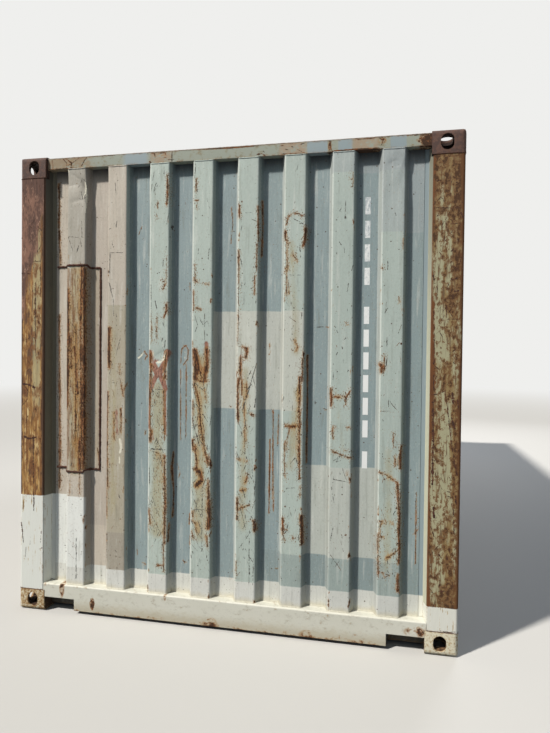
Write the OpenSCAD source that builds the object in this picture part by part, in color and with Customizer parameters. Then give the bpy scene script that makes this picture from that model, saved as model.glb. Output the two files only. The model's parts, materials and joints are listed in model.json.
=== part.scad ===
// Twenty foot dry shipping container, closed, with its blind front end towards -Y and its doors
// towards +Y. X runs across, Z is up, and the origin is on the ground at the middle of the base.

/* [Overall] */
// Length over the corner castings
container_l = 6058; // [4500:1:7000]
// Width over the corner castings
container_w = 2438; // [2300:1:2600]
// Height over the corner castings
container_h = 2591; // [2300:1:2896]

/* [Corner castings] */
// Casting size across the container
casting_w = 162; // [150:1:175]
// Casting size along the container
casting_l = 178; // [170:1:190]
// Casting height
casting_h = 118; // [112:1:128]
// Thickness of the two outer walls
casting_wall = 16; // [12:0.5:20]
// Thickness of the walls that are welded to the frame
casting_back = 12; // [8:0.5:14]
// Thickness of the plate that holds the long slot
casting_plate = 28; // [22:0.5:32]
// Radius of the three outer edges
casting_edge_r = 14; // [6:0.5:18]
// Length of the slot in the top or bottom plate
slot_l = 124.5; // [110:0.5:128]
// Width of the slot in the top or bottom plate
slot_w = 63.5; // [50:0.5:70]
// Centre of the slot from the casting's end face
slot_from_end = 101.5; // [98:0.5:103]
// Centre of the slot and of the end hole from the casting's side face
slot_from_side = 89; // [84:0.5:94]
// Width of the hole in the end face
end_hole_w = 63.5; // [50:0.5:68]
// Width of the hole in the side face
side_hole_w = 51; // [44:0.5:60]
// Height of the end and side holes
hole_h = 79.5; // [70:0.5:82]
// Centre of the end and side holes from the slotted plate's outer face
hole_from_plate = 61; // [58:0.5:64]

/* [Corner posts] */
// Set-back of the post faces and of the front sill from the casting faces
post_set = 3; // [1:0.5:6]
// Thickness of the pressed post plate
post_t = 6; // [4:0.5:8]
// Width of the front post's face
post_face_w = 150; // [130:1:156]
// Width that the slanted return takes between the front post's face and its flange
post_return_w = 17; // [10:1:25]
// Width of the flange that the front wall is welded to
post_flange_w = 23; // [14:1:35]
// Length of the straight part of the post's side
post_side_l = 172; // [150:1:174]
// Length that the slanted return takes on the side
post_side_return_l = 15; // [8:1:25]
// Length of the flange that the side wall is welded to
post_side_flange_l = 20; // [12:1:30]
// Radius of the post's outer edge
post_edge_r = 14; // [6:0.5:20]

/* [Front wall] */
// Set-back of the front wall's ridges and of the header from the casting faces
front_wall_set = 20; // [10:0.5:24]
// Number of ridges
front_ridge_n = 8; // [4:1:8]
// Distance between ridges
front_pitch = 250; // [225:1:252]
// Width of a ridge's flat face
front_ridge_w = 110; // [90:1:125]
// Width that one slope takes
front_slope_w = 18; // [10:0.5:26]
// Depth of the corrugation
front_wave_d = 45.6; // [30:0.1:50]
// Thickness of the front sheet
front_sheet_t = 2; // [1.5:0.1:4]

/* [Front sill and header] */
// Underside of both sills above the ground
sill_z = 18; // [14:0.5:24]
// Top of the front sill above the ground
front_sill_top = 160; // [150:1:170]
// Depth of the front sill, front to back
front_sill_d = 79; // [74:0.5:90]
// Plate thickness of both sills
sill_t = 4.5; // [3:0.5:6]
// Radius of the front sill's top edge
sill_edge_r = 8; // [5:0.5:14]
// Width of the lips under the front sill
sill_lip_w = 22; // [12:1:30]
// Width of the notch beside each front casting
sill_notch_w = 187; // [120:1:220]
// Top of the notch above the ground
sill_notch_top = 81; // [50:1:110]
// Height and depth of the front header and the top side rails
top_tube = 60; // [50:1:70]
// Wall of the front header and the top side rails
top_tube_t = 3; // [2:0.5:5]
// Drop of the frame's top faces below the top of the castings
frame_top_drop = 11; // [8:0.5:16]

/* [Side walls] */
// Set-back of the side walls and side rails from the casting faces
side_set = 5; // [3:0.5:8]
// Distance between side wall ridges
side_pitch = 278; // [250:1:300]
// Width of a side ridge's flat face
side_ridge_w = 72; // [60:1:90]
// Width that one slope of the side wall takes
side_slope_w = 68; // [50:1:75]
// Depth of the side corrugation
side_wave_d = 36; // [24:1:40]
// Thickness of the side sheet
side_sheet_t = 1.6; // [1.2:0.1:3]

/* [Bottom side rails] */
// Underside of the side rails above the ground
rail_z = 12.5; // [10:0.5:15]
// Height of a bottom side rail
rail_h = 162; // [158:1:175]
// Width of the rail's top flange
rail_top_w = 60; // [54:1:66]
// Width of the rail's bottom flange
rail_bottom_w = 30; // [20:1:40]
// Plate thickness of the rail
rail_t = 4.5; // [3:0.5:6]

/* [Base] */
// Height of a cross member
member_h = 122; // [117:1:126]
// Flange width of a cross member
member_w = 45; // [35:1:60]
// Plate thickness of a cross member
member_t = 4; // [3:0.5:6]
// Number of cross members between the two fork pockets
members_mid = 5; // [3:1:6]
// Number of cross members between a fork pocket and the end of the base
members_end = 5; // [3:1:6]
// Distance between the centres of the two fork pockets
fork_pitch = 2080; // [1200:1:2200]
// Width of a fork pocket
fork_w = 360; // [300:1:380]
// Thickness of the plate over a fork pocket
fork_plate_t = 4; // [3:0.5:6]
// Thickness of the straps under the fork pockets
fork_strap_t = 6; // [3:0.5:6.5]
// Step from the straps up to the openings in the side rails
fork_sill = 1.5; // [0.5:0.5:3]
// Width of the straps under the fork pockets
fork_strap_w = 200; // [120:1:300]
// Thickness of the plywood floor
floor_t = 28; // [20:1:29]
// Number of plywood sheets along the floor
floor_rows = 5; // [3:1:8]
// Length of the floor's edge that lies under the rail's top flange
floor_tuck = 6; // [2:0.5:10]
// Joint between plywood sheets
floor_joint = 2; // [1:0.5:4]
// Distance from the rear casting faces to the end of the floor
floor_end = 125; // [115:1:140]

/* [Roof] */
// Thickness of the roof sheet
roof_t = 2; // [1.5:0.1:3]
// Thickness of the plates over the two headers
roof_plate_t = 3; // [2:0.5:5]
// Distance from the casting faces to the end of the header plates
roof_plate_end = 300; // [240:1:380]
// Lap of the roof's edge over the top side rail
roof_lap = 46; // [20:1:55]
// Distance between roof troughs
roof_pitch = 209; // [180:1:240]
// Width of the flat bottom of a trough
roof_trough_w = 91; // [60:1:110]
// Width that one slope of a trough takes
roof_slope_w = 13.5; // [8:0.5:20]
// Depth of a trough
roof_trough_d = 20; // [12:1:24]
// Distance from the end of a trough to the top side rail
roof_trough_gap = 34; // [15:1:60]
// Length that the sloped end of a trough takes
roof_trough_run = 60; // [30:1:90]

/* [Doors] */
// Set-back of the rear post faces from the casting faces
rear_post_set = 35; // [33:1:40]
// Width of a rear post's face
rear_post_w = 50; // [45:1:60]
// Depth of the inner channel of a rear post
jamb_channel_l = 113; // [90:1:114]
// Plate thickness of the inner channel of a rear post
jamb_channel_t = 10; // [6:0.5:12]
// Set-back of the door faces, the door sill and the door header
door_set = 60; // [58:0.5:66]
// Thickness of a door leaf
door_t = 50; // [44:1:54]
// Gap between a leaf and the frame around it
door_gap = 12; // [8:0.5:16]
// Gap between the two leaves
door_mid_gap = 16; // [10:0.5:24]
// Width of the upright tubes of a leaf
leaf_stile_w = 100; // [80:1:110]
// Height of the level tubes of a leaf
leaf_rail_h = 150; // [100:1:180]
// Wall of the leaf tubes
leaf_tube_t = 3; // [2:0.5:5]
// Distance between ridges of a door panel
panel_pitch = 304; // [280:1:310]
// Width of a door panel ridge's flat face
panel_ridge_w = 72; // [68:1:90]
// Width that one slope of a door panel takes
panel_slope_w = 68; // [40:1:75]
// Depth of the door panel's corrugation
panel_wave_d = 36; // [24:1:40]
// Thickness of the door panel
panel_t = 2; // [1.5:0.1:3]
// Depth of the door sill and header, front to back
door_beam_d = 90; // [75:1:110]

/* [Door gear] */
// Radius of a lock rod
rod_r = 17; // [13:0.5:18]
// Wall of a lock rod, which is a pipe
rod_wall = 4; // [2.5:0.5:6]
// How far a cam reaches beyond its lock rod
cam_reach = 12; // [8:0.5:16]
// Gap between the back of a lock rod and the door
rod_back = 3; // [2.8:0.1:5]
// Running gap around rods, pins and cams
running_gap = 0.3; // [0.2:0.05:0.5]
// Number of brackets on each rod, below the handles and again above them
brackets_n = 2; // [1:1:3]
// Height of the handles of the inner rods above the ground
handle_high_z = 1330; // [1250:1:1500]
// Height of the handles of the outer rods above the ground
handle_low_z = 1130; // [900:1:1200]
// Height of a handle's flat bar
handle_h = 26; // [18:1:34]
// Thickness of a handle's flat bar
handle_t = 8; // [6:0.5:9]
// Length of a handle past the catch
handle_over = 80; // [40:1:120]
// Number of hinges on each leaf
hinges_n = 4; // [3:1:5]
// Radius of a hinge pin
pin_r = 8; // [6:0.5:9]
// Steel around a hinge pin
knuckle_wall = 5; // [3:0.5:6]
// How far the hinge pins stand out from the face of a rear post
pin_out = 17; // [15:0.5:19]
// Height of a hinge blade
blade_h = 56; // [40:1:80]
// Thickness of a hinge blade
blade_t = 10; // [6:0.5:12]
// Height of each lug that holds a hinge pin
lug_h = 18; // [12:1:26]

/* [Vents] */
// Height of a vent
vent_h = 120; // [90:1:160]
// Depth of a vent from the wall's recess
vent_d = 30; // [16:1:34]
// Distance from the top of a vent to the top side rail
vent_drop = 90; // [50:1:200]
// Number of slots in a vent
vent_slots = 5; // [3:1:6]
// Height of one slot in a vent
vent_slot_h = 8; // [5:0.5:9]

/* [Hidden] */
$fn = 48;

// how far a cut runs past the face that it opens
cut = 1;
half_l = container_l / 2;
half_w = container_w / 2;

// clear width between the castings, and the frame's top faces
between_castings = half_w - casting_w;
rail_end_y = half_l - casting_l;
post_top = container_h - casting_h;
frame_top = container_h - frame_top_drop;
tube_z = frame_top - top_tube;

// planes of the pressed walls, as distances from the casting faces
front_recess_set = front_wall_set + front_wave_d;
side_recess_set = side_set + side_wave_d;
post_inner_x = half_w - post_set - post_face_w;
front_wall_half = post_inner_x - post_return_w - post_flange_w;
side_wall_end = post_set + post_side_l + post_side_return_l + post_side_flange_l;

// bottom rails and base
rail_outer_x = half_w - side_set;
rail_top = rail_z + rail_h;
member_z = rail_z + rail_t;
floor_z = member_z + member_h;
front_sill_back = post_set + front_sill_d;
floor_half_w = rail_outer_x - rail_top_w + floor_tuck;
fork_z = rail_z + fork_strap_t + fork_sill;
fork_h = floor_z - fork_plate_t - fork_z;
member_half_l = rail_outer_x - rail_t;

// roof troughs
roof_half_l = half_l - roof_plate_end;
roof_half_w = rail_outer_x - top_tube + roof_lap;
trough_half_w = rail_outer_x - top_tube - roof_trough_gap;
trough_n = floor(2 * roof_half_l / roof_pitch);

// doors
jamb_x = half_w - post_set - rear_post_w;
jamb_end = floor_end;
leaf_outer_x = jamb_x - door_gap;
leaf_inner_x = door_mid_gap / 2;
leaf_z = floor_z + door_gap;
leaf_top = post_top - door_gap;
leaf_w = leaf_outer_x - leaf_inner_x;
panel_ridge_n = 3;
panel_mid_x = (leaf_outer_x + leaf_inner_x) / 2;
panel_half_w = leaf_w / 2 - leaf_stile_w;
panel_z = leaf_z + leaf_rail_h;
panel_top = leaf_top - leaf_rail_h;

// lock rods, their cams and brackets
rod_set = door_set - rod_back - rod_r;
rod_xs = [panel_mid_x - panel_pitch, panel_mid_x + panel_pitch];
cam_low_z = (sill_z + floor_z) / 2;
cam_high_z = (post_top + frame_top) / 2;
cam_h = 24;
cam_half_w = rod_r + cam_reach;
keeper_h = 56;
keeper_t = 15;
keeper_lip_t = 6;
keeper_lip_gap = 3;
cam_d = 18;
rod_over = 30;
plate_gap = 0.5;
plate_t = rod_back - plate_gap;
bracket_half_w = 32;
bracket_h = 90;
bracket_hoop_h = 40;
bracket_hoop_t = 9;
handle_face = 10;
hub_gap = 0.4;
hub_t = rod_back - hub_gap;
hub_neck_w = 24;
catch_half_w = 20;
catch_t = 7;
catch_gap = 0.5;
catch_over = 2;

// hinges
pin_x = half_w - post_set - rear_post_w / 2;
pin_set = rear_post_set - pin_out;
knuckle_r = pin_r + knuckle_wall;
blade_in = 86;
blade_edge = 8;
blade_clear = 2;
blade_proud = 5;
blade_level = rear_post_set - blade_proud;

// door seals
seal_d = 13;
seal_lap = 2;
seal_back = door_t - seal_lap;

// vents
vent_clear = 0.5;
vent_slot_d = 12;
vent_slot_l = 80;

steel_dark = "#6b5348";
steel_front = "#9aa6a6";
steel_side = "#a79f8f";
steel_cream = "#b4ae98";
steel_post = "#a08c62";
wood = "#8a6a45";
rubber = "#25262a";
zinc = "#8d9192";

// direction that points to the left of a walk from a to b
function left_of(a, b) = let (u = (b - a) / norm(b - a)) [-u[1], u[0]];

// point i of a path, moved sideways by t so that each straight stretch keeps its distance
function moved_point(path, i, t) =
    let (
        last = len(path) - 1,
        before = i > 0 ? left_of(path[i - 1], path[i]) : left_of(path[0], path[1]),
        after = i < last ? left_of(path[i], path[i + 1]) : left_of(path[last - 1], path[last])
    )
    path[i] + t * (before + after) / (1 + before * after);

// outline of a sheet of thickness t folded along a path
function folded(path, t) =
    concat(path, [for (i = [len(path) - 1 : -1 : 0]) moved_point(path, i, t)]);

// trapezoid wave about zero: ridges at height zero, recesses at height -depth
function wave(n, pitch, ridge_w, slope_w, depth, half_len) =
    concat(
        [[-half_len, -depth]],
        [
            for (i = [0 : n - 1])
                let (c = (i - (n - 1) / 2) * pitch)
                each [
                    [c - ridge_w / 2 - slope_w, -depth],
                    [c - ridge_w / 2, 0],
                    [c + ridge_w / 2, 0],
                    [c + ridge_w / 2 + slope_w, -depth]
                ]
        ],
        [[half_len, -depth]]
    );

// rectangle with its far corner rounded
module one_round_corner(w, h, r) {
    square([w, h - r]);
    square([w - r, h]);
    translate([w - r, h - r]) circle(r = r);
}

// slot with round ends, l long over the ends along its first axis
module round_slot(l, w) {
    for (s = [-1, 1]) translate([s * (l - w) / 2, 0]) circle(d = w);
    square([l - w, w], center = true);
}

// an outline given across and up, run along the container from y to y + l
module run_along(y, l) {
    translate([0, y + l, 0]) rotate([90, 0, 0]) linear_extrude(l) children();
}

// an outline given along and up, run across the container from x to x + w
module run_across(x, w) {
    translate([x, 0, 0]) rotate([90, 0, 90]) linear_extrude(w) children();
}

// puts a piece made for the right rear quarter on another side or end
module placed(side, end) {
    mirror([side < 0 ? 1 : 0, 0, 0]) mirror([0, end < 0 ? 1 : 0, 0]) children();
}

// hollow casting of the right rear top corner: a slot above, a hole in the end and one in the side
module casting() {
    translate([between_castings, rail_end_y, post_top]) difference() {
        intersection() {
            linear_extrude(casting_h) one_round_corner(casting_w, casting_l, casting_edge_r);
            run_along(0, casting_l) one_round_corner(casting_w, casting_h, casting_edge_r);
            run_across(0, casting_w) one_round_corner(casting_l, casting_h, casting_edge_r);
        }
        translate([casting_back, casting_back, casting_back]) cube([
            casting_w - casting_back - casting_wall,
            casting_l - casting_back - casting_wall,
            casting_h - casting_back - casting_plate
        ]);
        translate([casting_w - slot_from_side, casting_l - slot_from_end, casting_h - casting_plate - cut])
            linear_extrude(casting_plate + 2 * cut) rotate(90) round_slot(slot_l, slot_w);
        translate([casting_w - slot_from_side, casting_l + cut, casting_h - hole_from_plate])
            rotate([90, 90, 0]) linear_extrude(casting_wall + 2 * cut) round_slot(hole_h, end_hole_w);
        translate([casting_w + cut, casting_l - slot_from_end, casting_h - hole_from_plate])
            rotate([0, -90, 0]) linear_extrude(casting_wall + 2 * cut) round_slot(hole_h, side_hole_w);
    }
}

module top_casting(side, end) color(steel_dark) placed(side, end) casting();

module bottom_casting(side, end)
    color(steel_cream) placed(side, end)
        translate([0, 0, container_h]) mirror([0, 0, 1]) casting();

module front_bottom_left_casting() bottom_casting(-1, -1);
module front_bottom_right_casting() bottom_casting(1, -1);
module front_top_left_casting() top_casting(-1, -1);
module front_top_right_casting() top_casting(1, -1);
module rear_bottom_left_casting() bottom_casting(-1, 1);
module rear_bottom_right_casting() bottom_casting(1, 1);
module rear_top_left_casting() top_casting(-1, 1);
module rear_top_right_casting() top_casting(1, 1);

// bend line on the side of a post: straight side, slanted return, flange for the side wall
function post_side_path() = [
    [half_w - post_set, half_l - post_set - post_side_l],
    [half_w - side_recess_set, half_l - post_set - post_side_l - post_side_return_l],
    [half_w - side_recess_set, half_l - side_wall_end]
];

// a post's outline, with the outer edge rounded
module post_plan(path, set) {
    intersection() {
        polygon(folded(path, -post_t));
        one_round_corner(half_w - post_set, half_l - set, post_edge_r);
    }
}

// part of a post's outline that stands on the casting
module over_casting() intersection() {
    children();
    translate([between_castings, rail_end_y]) square([casting_w, casting_l]);
}

// part of a post's outline that stands on the bottom side rail
module over_rail() intersection() {
    children();
    translate([between_castings, 0]) square([casting_w, rail_end_y]);
}

// part of a front post's outline that stands on the front sill
module over_sill() intersection() {
    children();
    square([between_castings, half_l]);
}

module front_post_plan()
    post_plan(
        concat(
            [
                [front_wall_half, half_l - front_recess_set],
                [front_wall_half + post_flange_w, half_l - front_recess_set],
                [post_inner_x, half_l - post_set],
                [half_w - post_set, half_l - post_set]
            ],
            post_side_path()
        ),
        post_set
    );

// pressed front post: it stands on the casting, and its two flanges run on beside it
module front_post(side) color(steel_post) placed(side, -1) {
    translate([0, 0, casting_h]) linear_extrude(post_top - casting_h) over_casting() front_post_plan();
    translate([0, 0, front_sill_top])
        linear_extrude(tube_z - front_sill_top) over_sill() front_post_plan();
    translate([0, 0, rail_top]) linear_extrude(tube_z - rail_top) over_rail() front_post_plan();
}

module front_left_post() front_post(-1);
module front_right_post() front_post(1);

module rear_post_plan() {
    post_plan(
        concat(
            [
                [jamb_x, half_l - jamb_end],
                [jamb_x, half_l - rear_post_set],
                [half_w - post_set, half_l - rear_post_set]
            ],
            post_side_path()
        ),
        rear_post_set
    );
    jamb_channel_plan();
}

// channel inside a rear post, open towards the side
module jamb_channel_plan() {
    x0 = jamb_x + post_t;
    x1 = half_w - post_set - post_t;
    translate([x0, half_l - door_set - jamb_channel_l]) {
        square([jamb_channel_t, jamb_channel_l]);
        square([x1 - x0, jamb_channel_t]);
        translate([0, jamb_channel_l - jamb_channel_t]) square([x1 - x0, jamb_channel_t]);
    }
}

// heights of the middle of each hinge
function hinge_zs() = [
    for (i = [0 : hinges_n - 1]) panel_z + i * (panel_top - panel_z) / (hinges_n - 1)
];

// two lugs for one hinge pin, welded to the face of a rear post
module hinge_lugs(z) {
    for (s = [-1, 1])
        translate([pin_x, half_l - pin_set, z + s * (blade_h / 2 + running_gap + lug_h / 2)])
            linear_extrude(lug_h, center = true) difference() {
                union() {
                    circle(r = knuckle_r);
                    translate([-knuckle_r, pin_set - rear_post_set])
                        square([2 * knuckle_r, rear_post_set - pin_set]);
                }
                circle(r = pin_r + running_gap);
            }
}

module rear_post(side) color(steel_side) placed(side, 1) {
    translate([0, 0, casting_h]) linear_extrude(post_top - casting_h) over_casting() rear_post_plan();
    translate([0, 0, rail_top]) linear_extrude(tube_z - rail_top) over_rail() rear_post_plan();
    for (z = hinge_zs()) hinge_lugs(z);
}

module rear_left_post() rear_post(-1);
module rear_right_post() rear_post(1);

// section of the front sill, along and up: a pressed hollow beam, open between two lips below
module front_sill_section() {
    h = front_sill_top - sill_z;
    translate([half_l - front_sill_back, sill_z]) difference() {
        one_round_corner(front_sill_d, h, sill_edge_r);
        translate([sill_t, sill_t])
            one_round_corner(front_sill_d - 2 * sill_t, h - 2 * sill_t, sill_edge_r - sill_t);
        translate([sill_lip_w, -cut]) square([front_sill_d - 2 * sill_lip_w, sill_t + 2 * cut]);
    }
}

// lined notch beside a front casting
module notch_lining() {
    x0 = between_castings - sill_notch_w;
    run_along(half_l - front_sill_back, front_sill_d) translate([x0 - sill_t, sill_z]) {
        square([sill_t, sill_notch_top - sill_z + sill_t]);
        translate([0, sill_notch_top - sill_z]) square([sill_notch_w + sill_t, sill_t]);
    }
}

module half_front_sill() {
    difference() {
        run_across(0, post_inner_x) front_sill_section();
        translate([between_castings - sill_notch_w, half_l - container_l, -cut])
            cube([container_w, container_l, sill_notch_top + cut]);
        translate([between_castings, half_l - container_l, -cut])
            cube([container_w, container_l, casting_h + cut]);
        translate([0, 0, casting_h - cut]) linear_extrude(front_sill_top) polygon([
            [between_castings, half_l - container_l],
            [between_castings, half_l - post_set - (post_inner_x - between_castings) * post_slant],
            [post_inner_x, half_l - post_set],
            [container_w, half_l - container_l]
        ]);
    }
    notch_lining();
}

// how far the front post's slanted return goes back for each millimetre across
post_slant = (front_recess_set - post_set) / post_return_w;

module front_sill() color(steel_cream) placed(1, -1) for (side = [-1, 1]) placed(side, 1) half_front_sill();

// hollow square tube section from a corner
module tube_section(w, h, t) difference() {
    square([w, h]);
    translate([t, t]) square([w - 2 * t, h - 2 * t]);
}

module front_header()
    color(steel_cream) placed(1, -1) run_across(-between_castings, 2 * between_castings)
        translate([half_l - front_wall_set - top_tube, tube_z]) tube_section(top_tube, top_tube, top_tube_t);

// the door sill is a tube between the castings, and its top runs over them to the posts
module door_sill() color(steel_side) difference() {
    run_across(-jamb_x, 2 * jamb_x)
        translate([half_l - door_set - door_beam_d, sill_z])
            tube_section(door_beam_d, floor_z - sill_z, sill_t);
    for (side = [-1, 1]) placed(side, 1)
        translate([between_castings, half_l - casting_l, -cut]) cube([casting_w, casting_l, casting_h + cut]);
}

module door_header()
    color(steel_side) run_across(-between_castings, 2 * between_castings)
        translate([half_l - door_set - door_beam_d, post_top])
            tube_section(door_beam_d, frame_top - post_top, sill_t);

// pressed channel with its back outwards, cut through for the forks
module bottom_rail(side) color(steel_side) placed(side, 1) difference() {
    run_along(-rail_end_y, 2 * rail_end_y) polygon(folded([
        [rail_outer_x - rail_bottom_w, rail_z],
        [rail_outer_x, rail_z],
        [rail_outer_x, rail_top],
        [rail_outer_x - rail_top_w, rail_top]
    ], rail_t));
    for (s = [-1, 1])
        translate([rail_outer_x - rail_t - cut, s * fork_pitch / 2 - fork_w / 2, fork_z])
            cube([rail_t + 2 * cut, fork_w, fork_h]);
}

module left_bottom_rail() bottom_rail(-1);
module right_bottom_rail() bottom_rail(1);

module top_rail(side)
    color(steel_side) placed(side, 1) run_along(-rail_end_y, 2 * rail_end_y)
        translate([rail_outer_x - top_tube, tube_z]) tube_section(top_tube, top_tube, top_tube_t);

module left_top_rail() top_rail(-1);
module right_top_rail() top_rail(1);

// front wall, pressed from one sheet with upright ridges
module front_wall()
    color(steel_front) placed(1, -1) translate([0, half_l - front_wall_set, front_sill_top])
        linear_extrude(tube_z - front_sill_top) polygon(folded(
            wave(front_ridge_n, front_pitch, front_ridge_w, front_slope_w, front_wave_d, front_wall_half),
            -front_sheet_t
        ));

side_wall_half = half_l - side_wall_end;
side_ridge_n = floor(2 * (side_wall_half - side_slope_w / 2) / side_pitch);

// side wall, with upright ridges from the front post to the rear post
module side_wall(side)
    color(steel_side) placed(side, 1) translate([rail_outer_x, 0, rail_top]) rotate(-90)
        linear_extrude(tube_z - rail_top) polygon(folded(
            wave(side_ridge_n, side_pitch, side_ridge_w, side_slope_w, side_wave_d, side_wall_half),
            -side_sheet_t
        ));

module left_wall() side_wall(-1);
module right_wall() side_wall(1);

// line of the roof along the container: flat at both ends, with the troughs between
function trough_line() =
    wave(trough_n, roof_pitch, roof_trough_w, roof_slope_w, -roof_trough_d, roof_half_l);

// line of one trough across the container, with its two sloped ends
function trough_cross_line() =
    wave(1, 0, 2 * (trough_half_w - roof_trough_run), roof_trough_run, -roof_trough_d, roof_half_w);

function moved_line(path, t) = [for (i = [0 : len(path) - 1]) moved_point(path, i, t)];

// region from a line up to a level top
module region_over(path, top)
    polygon(concat(path, [[path[len(path) - 1][0], top], [path[0][0], top]]));

// everything that is over both the trough line and the cross line, when both are raised by t
module over_troughs(t, top) intersection() {
    run_across(-roof_half_w, 2 * roof_half_w) region_over(moved_line(trough_line(), t), top);
    run_along(-roof_half_l, 2 * roof_half_l) region_over(moved_line(trough_cross_line(), t), top);
}

// pressed roof: flat along all four edges, with closed troughs across it
module roof_panel() color(steel_side) translate([0, 0, frame_top - roof_trough_d]) difference() {
    over_troughs(0, roof_trough_d + roof_t);
    over_troughs(roof_t, roof_trough_d + roof_t + cut);
}

// plate over a header, narrowed between the castings
module header_plate(set) color(steel_side) translate([0, 0, frame_top]) linear_extrude(roof_plate_t) {
    translate([-between_castings, half_l - roof_plate_end])
        square([2 * between_castings, roof_plate_end - set]);
    translate([-roof_half_w, half_l - roof_plate_end])
        square([2 * roof_half_w, roof_plate_end - casting_l]);
}

module front_roof_plate() placed(1, -1) header_plate(front_wall_set);
module rear_roof_plate() header_plate(door_set);

// pressed channel across the base, its back at y and its flanges towards +Y
module cross_member(y, half_len)
    run_across(-half_len, 2 * half_len) translate([y, member_z]) polygon(folded([
        [member_w, 0],
        [0, 0],
        [0, member_h],
        [member_w, member_h]
    ], -member_t));

// cross members between two places, n of them at even distances
module members_between(y0, y1, n) for (i = [1 : n])
    cross_member(y0 + i * (y1 - y0) / (n + 1) - member_w / 2, member_half_l);

module cross_members() color(steel_dark) {
    inner = (fork_pitch - fork_w) / 2 - member_w;
    outer = (fork_pitch + fork_w) / 2 + member_w;
    members_between(-inner, inner, members_mid);
    members_between(outer, half_l - door_set - door_beam_d, members_end);
    placed(1, -1) members_between(outer, half_l - front_sill_back - member_w, members_end);
    placed(1, -1) translate([0, 2 * (half_l - front_sill_back), 0]) mirror([0, 1, 0])
        cross_member(half_l - front_sill_back, between_castings);
    for (s = [-1, 1]) placed(1, s) {
        cross_member((fork_pitch + fork_w) / 2, member_half_l);
        translate([0, fork_pitch, 0]) mirror([0, 1, 0])
            cross_member((fork_pitch + fork_w) / 2, member_half_l);
    }
}

// plate over each fork pocket, and a strap under each of its mouths
module fork_pockets() color(steel_dark) for (s = [-1, 1]) translate([0, s * fork_pitch / 2 - fork_w / 2, 0]) {
    translate([-member_half_l, 0, floor_z - fork_plate_t]) cube([2 * member_half_l, fork_w, fork_plate_t]);
    for (side = [-1, 1]) placed(side, 1)
        translate([rail_outer_x - rail_bottom_w - fork_strap_w, 0, rail_z])
            cube([fork_strap_w, fork_w, fork_strap_t]);
}

module floor_boards() color(wood) {
    y0 = -half_l + front_sill_back;
    y1 = half_l - floor_end;
    row = (y1 - y0 + floor_joint) / floor_rows;
    for (i = [0 : floor_rows - 1], side = [-1, 1]) placed(side, 1)
        translate([floor_joint / 2, y0 + i * row, floor_z])
            cube([floor_half_w - floor_joint / 2, row - floor_joint, floor_t]);
}

// frame of a door leaf: two upright tubes with a channel between them at the bottom and the top
module door_frame(side) color(steel_side) placed(side, 1) translate([0, half_l - door_set - door_t, 0]) {
    for (x = [leaf_inner_x, leaf_outer_x - leaf_stile_w])
        translate([x, 0, leaf_z]) linear_extrude(leaf_top - leaf_z)
            tube_section(leaf_stile_w, door_t, leaf_tube_t);
    for (z = [leaf_z, panel_top])
        run_across(leaf_inner_x + leaf_stile_w, leaf_w - 2 * leaf_stile_w) translate([0, z]) polygon(folded([
            [0, leaf_rail_h],
            [door_t, leaf_rail_h],
            [door_t, 0],
            [0, 0]
        ], -leaf_tube_t));
}

module left_door_frame() door_frame(-1);
module right_door_frame() door_frame(1);

module door_panel(side)
    color(steel_side) placed(side, 1) translate([panel_mid_x, half_l - door_set, panel_z])
        linear_extrude(panel_top - panel_z) polygon(folded(
            wave(panel_ridge_n, panel_pitch, panel_ridge_w, panel_slope_w, panel_wave_d, panel_half_w),
            -panel_t
        ));

module left_door_panel() door_panel(-1);
module right_door_panel() door_panel(1);

// upright rod with a cam near each end
module lock_rod(x) translate([x, half_l - rod_set, 0]) difference() {
    rod_h = cam_high_z - cam_low_z + 2 * rod_over;
    union() {
        translate([0, 0, cam_low_z - rod_over]) cylinder(r = rod_r, h = rod_h);
        for (z = [cam_low_z, cam_high_z])
            translate([0, 0, z]) cube([2 * cam_half_w, cam_d, cam_h], center = true);
    }
    translate([0, 0, cam_low_z - rod_over - cut]) cylinder(r = rod_r - rod_wall, h = rod_h + 2 * cut);
}

module lock_rods(side) color(zinc) placed(side, 1) for (x = rod_xs) lock_rod(x);

module left_lock_rods() lock_rods(-1);
module right_lock_rods() lock_rods(1);

// two hooked cheeks on a thin plate, around a cam
module cam_keeper() linear_extrude(keeper_h, center = true) {
    lip_y = cam_d / 2 + catch_gap;
    translate([-cam_half_w - catch_gap - keeper_t, rod_set - door_set])
        square([2 * (cam_half_w + catch_gap + keeper_t), plate_t]);
    for (s = [-1, 1]) mirror([s < 0 ? 1 : 0, 0]) {
        translate([cam_half_w + catch_gap, rod_set - door_set])
            square([keeper_t, door_set - rod_set + lip_y + keeper_lip_t]);
        translate([rod_r + keeper_lip_gap, lip_y])
            square([cam_half_w + catch_gap - rod_r - keeper_lip_gap + keeper_t, keeper_lip_t]);
    }
}

module cam_keepers() color(zinc)
    for (side = [-1, 1], x = rod_xs, z = [cam_low_z, cam_high_z])
        placed(side, 1) translate([x, half_l - rod_set, z]) cam_keeper();

// foot plate of a bracket or a catch, against the door
module foot_plate() translate([-bracket_half_w, rod_set - door_set, -bracket_h / 2])
    cube([2 * bracket_half_w, plate_t, bracket_h]);

// hoop around a rod, on its foot plate
module rod_bracket() {
    foot_plate();
    linear_extrude(bracket_hoop_h, center = true) difference() {
        union() {
            circle(r = rod_r + bracket_hoop_t);
            translate([-rod_r - bracket_hoop_t, rod_set - door_set + plate_t])
                square([2 * (rod_r + bracket_hoop_t), door_set - rod_set - plate_t]);
        }
        circle(r = rod_r + running_gap);
        translate([-rod_r - bracket_hoop_t - cut, rod_set - door_set - rod_r])
            square([2 * (rod_r + bracket_hoop_t + cut), rod_r + plate_t / 2]);
    }
}

// heights of the brackets on one rod
function bracket_zs() =
    let (low = leaf_z + leaf_rail_h / 2, high = leaf_top - leaf_rail_h / 2)
    [for (i = [0 : brackets_n - 1]) each [
        low + i * (handle_low_z - low) / brackets_n,
        high - i * (high - handle_high_z) / brackets_n
    ]];

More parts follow.
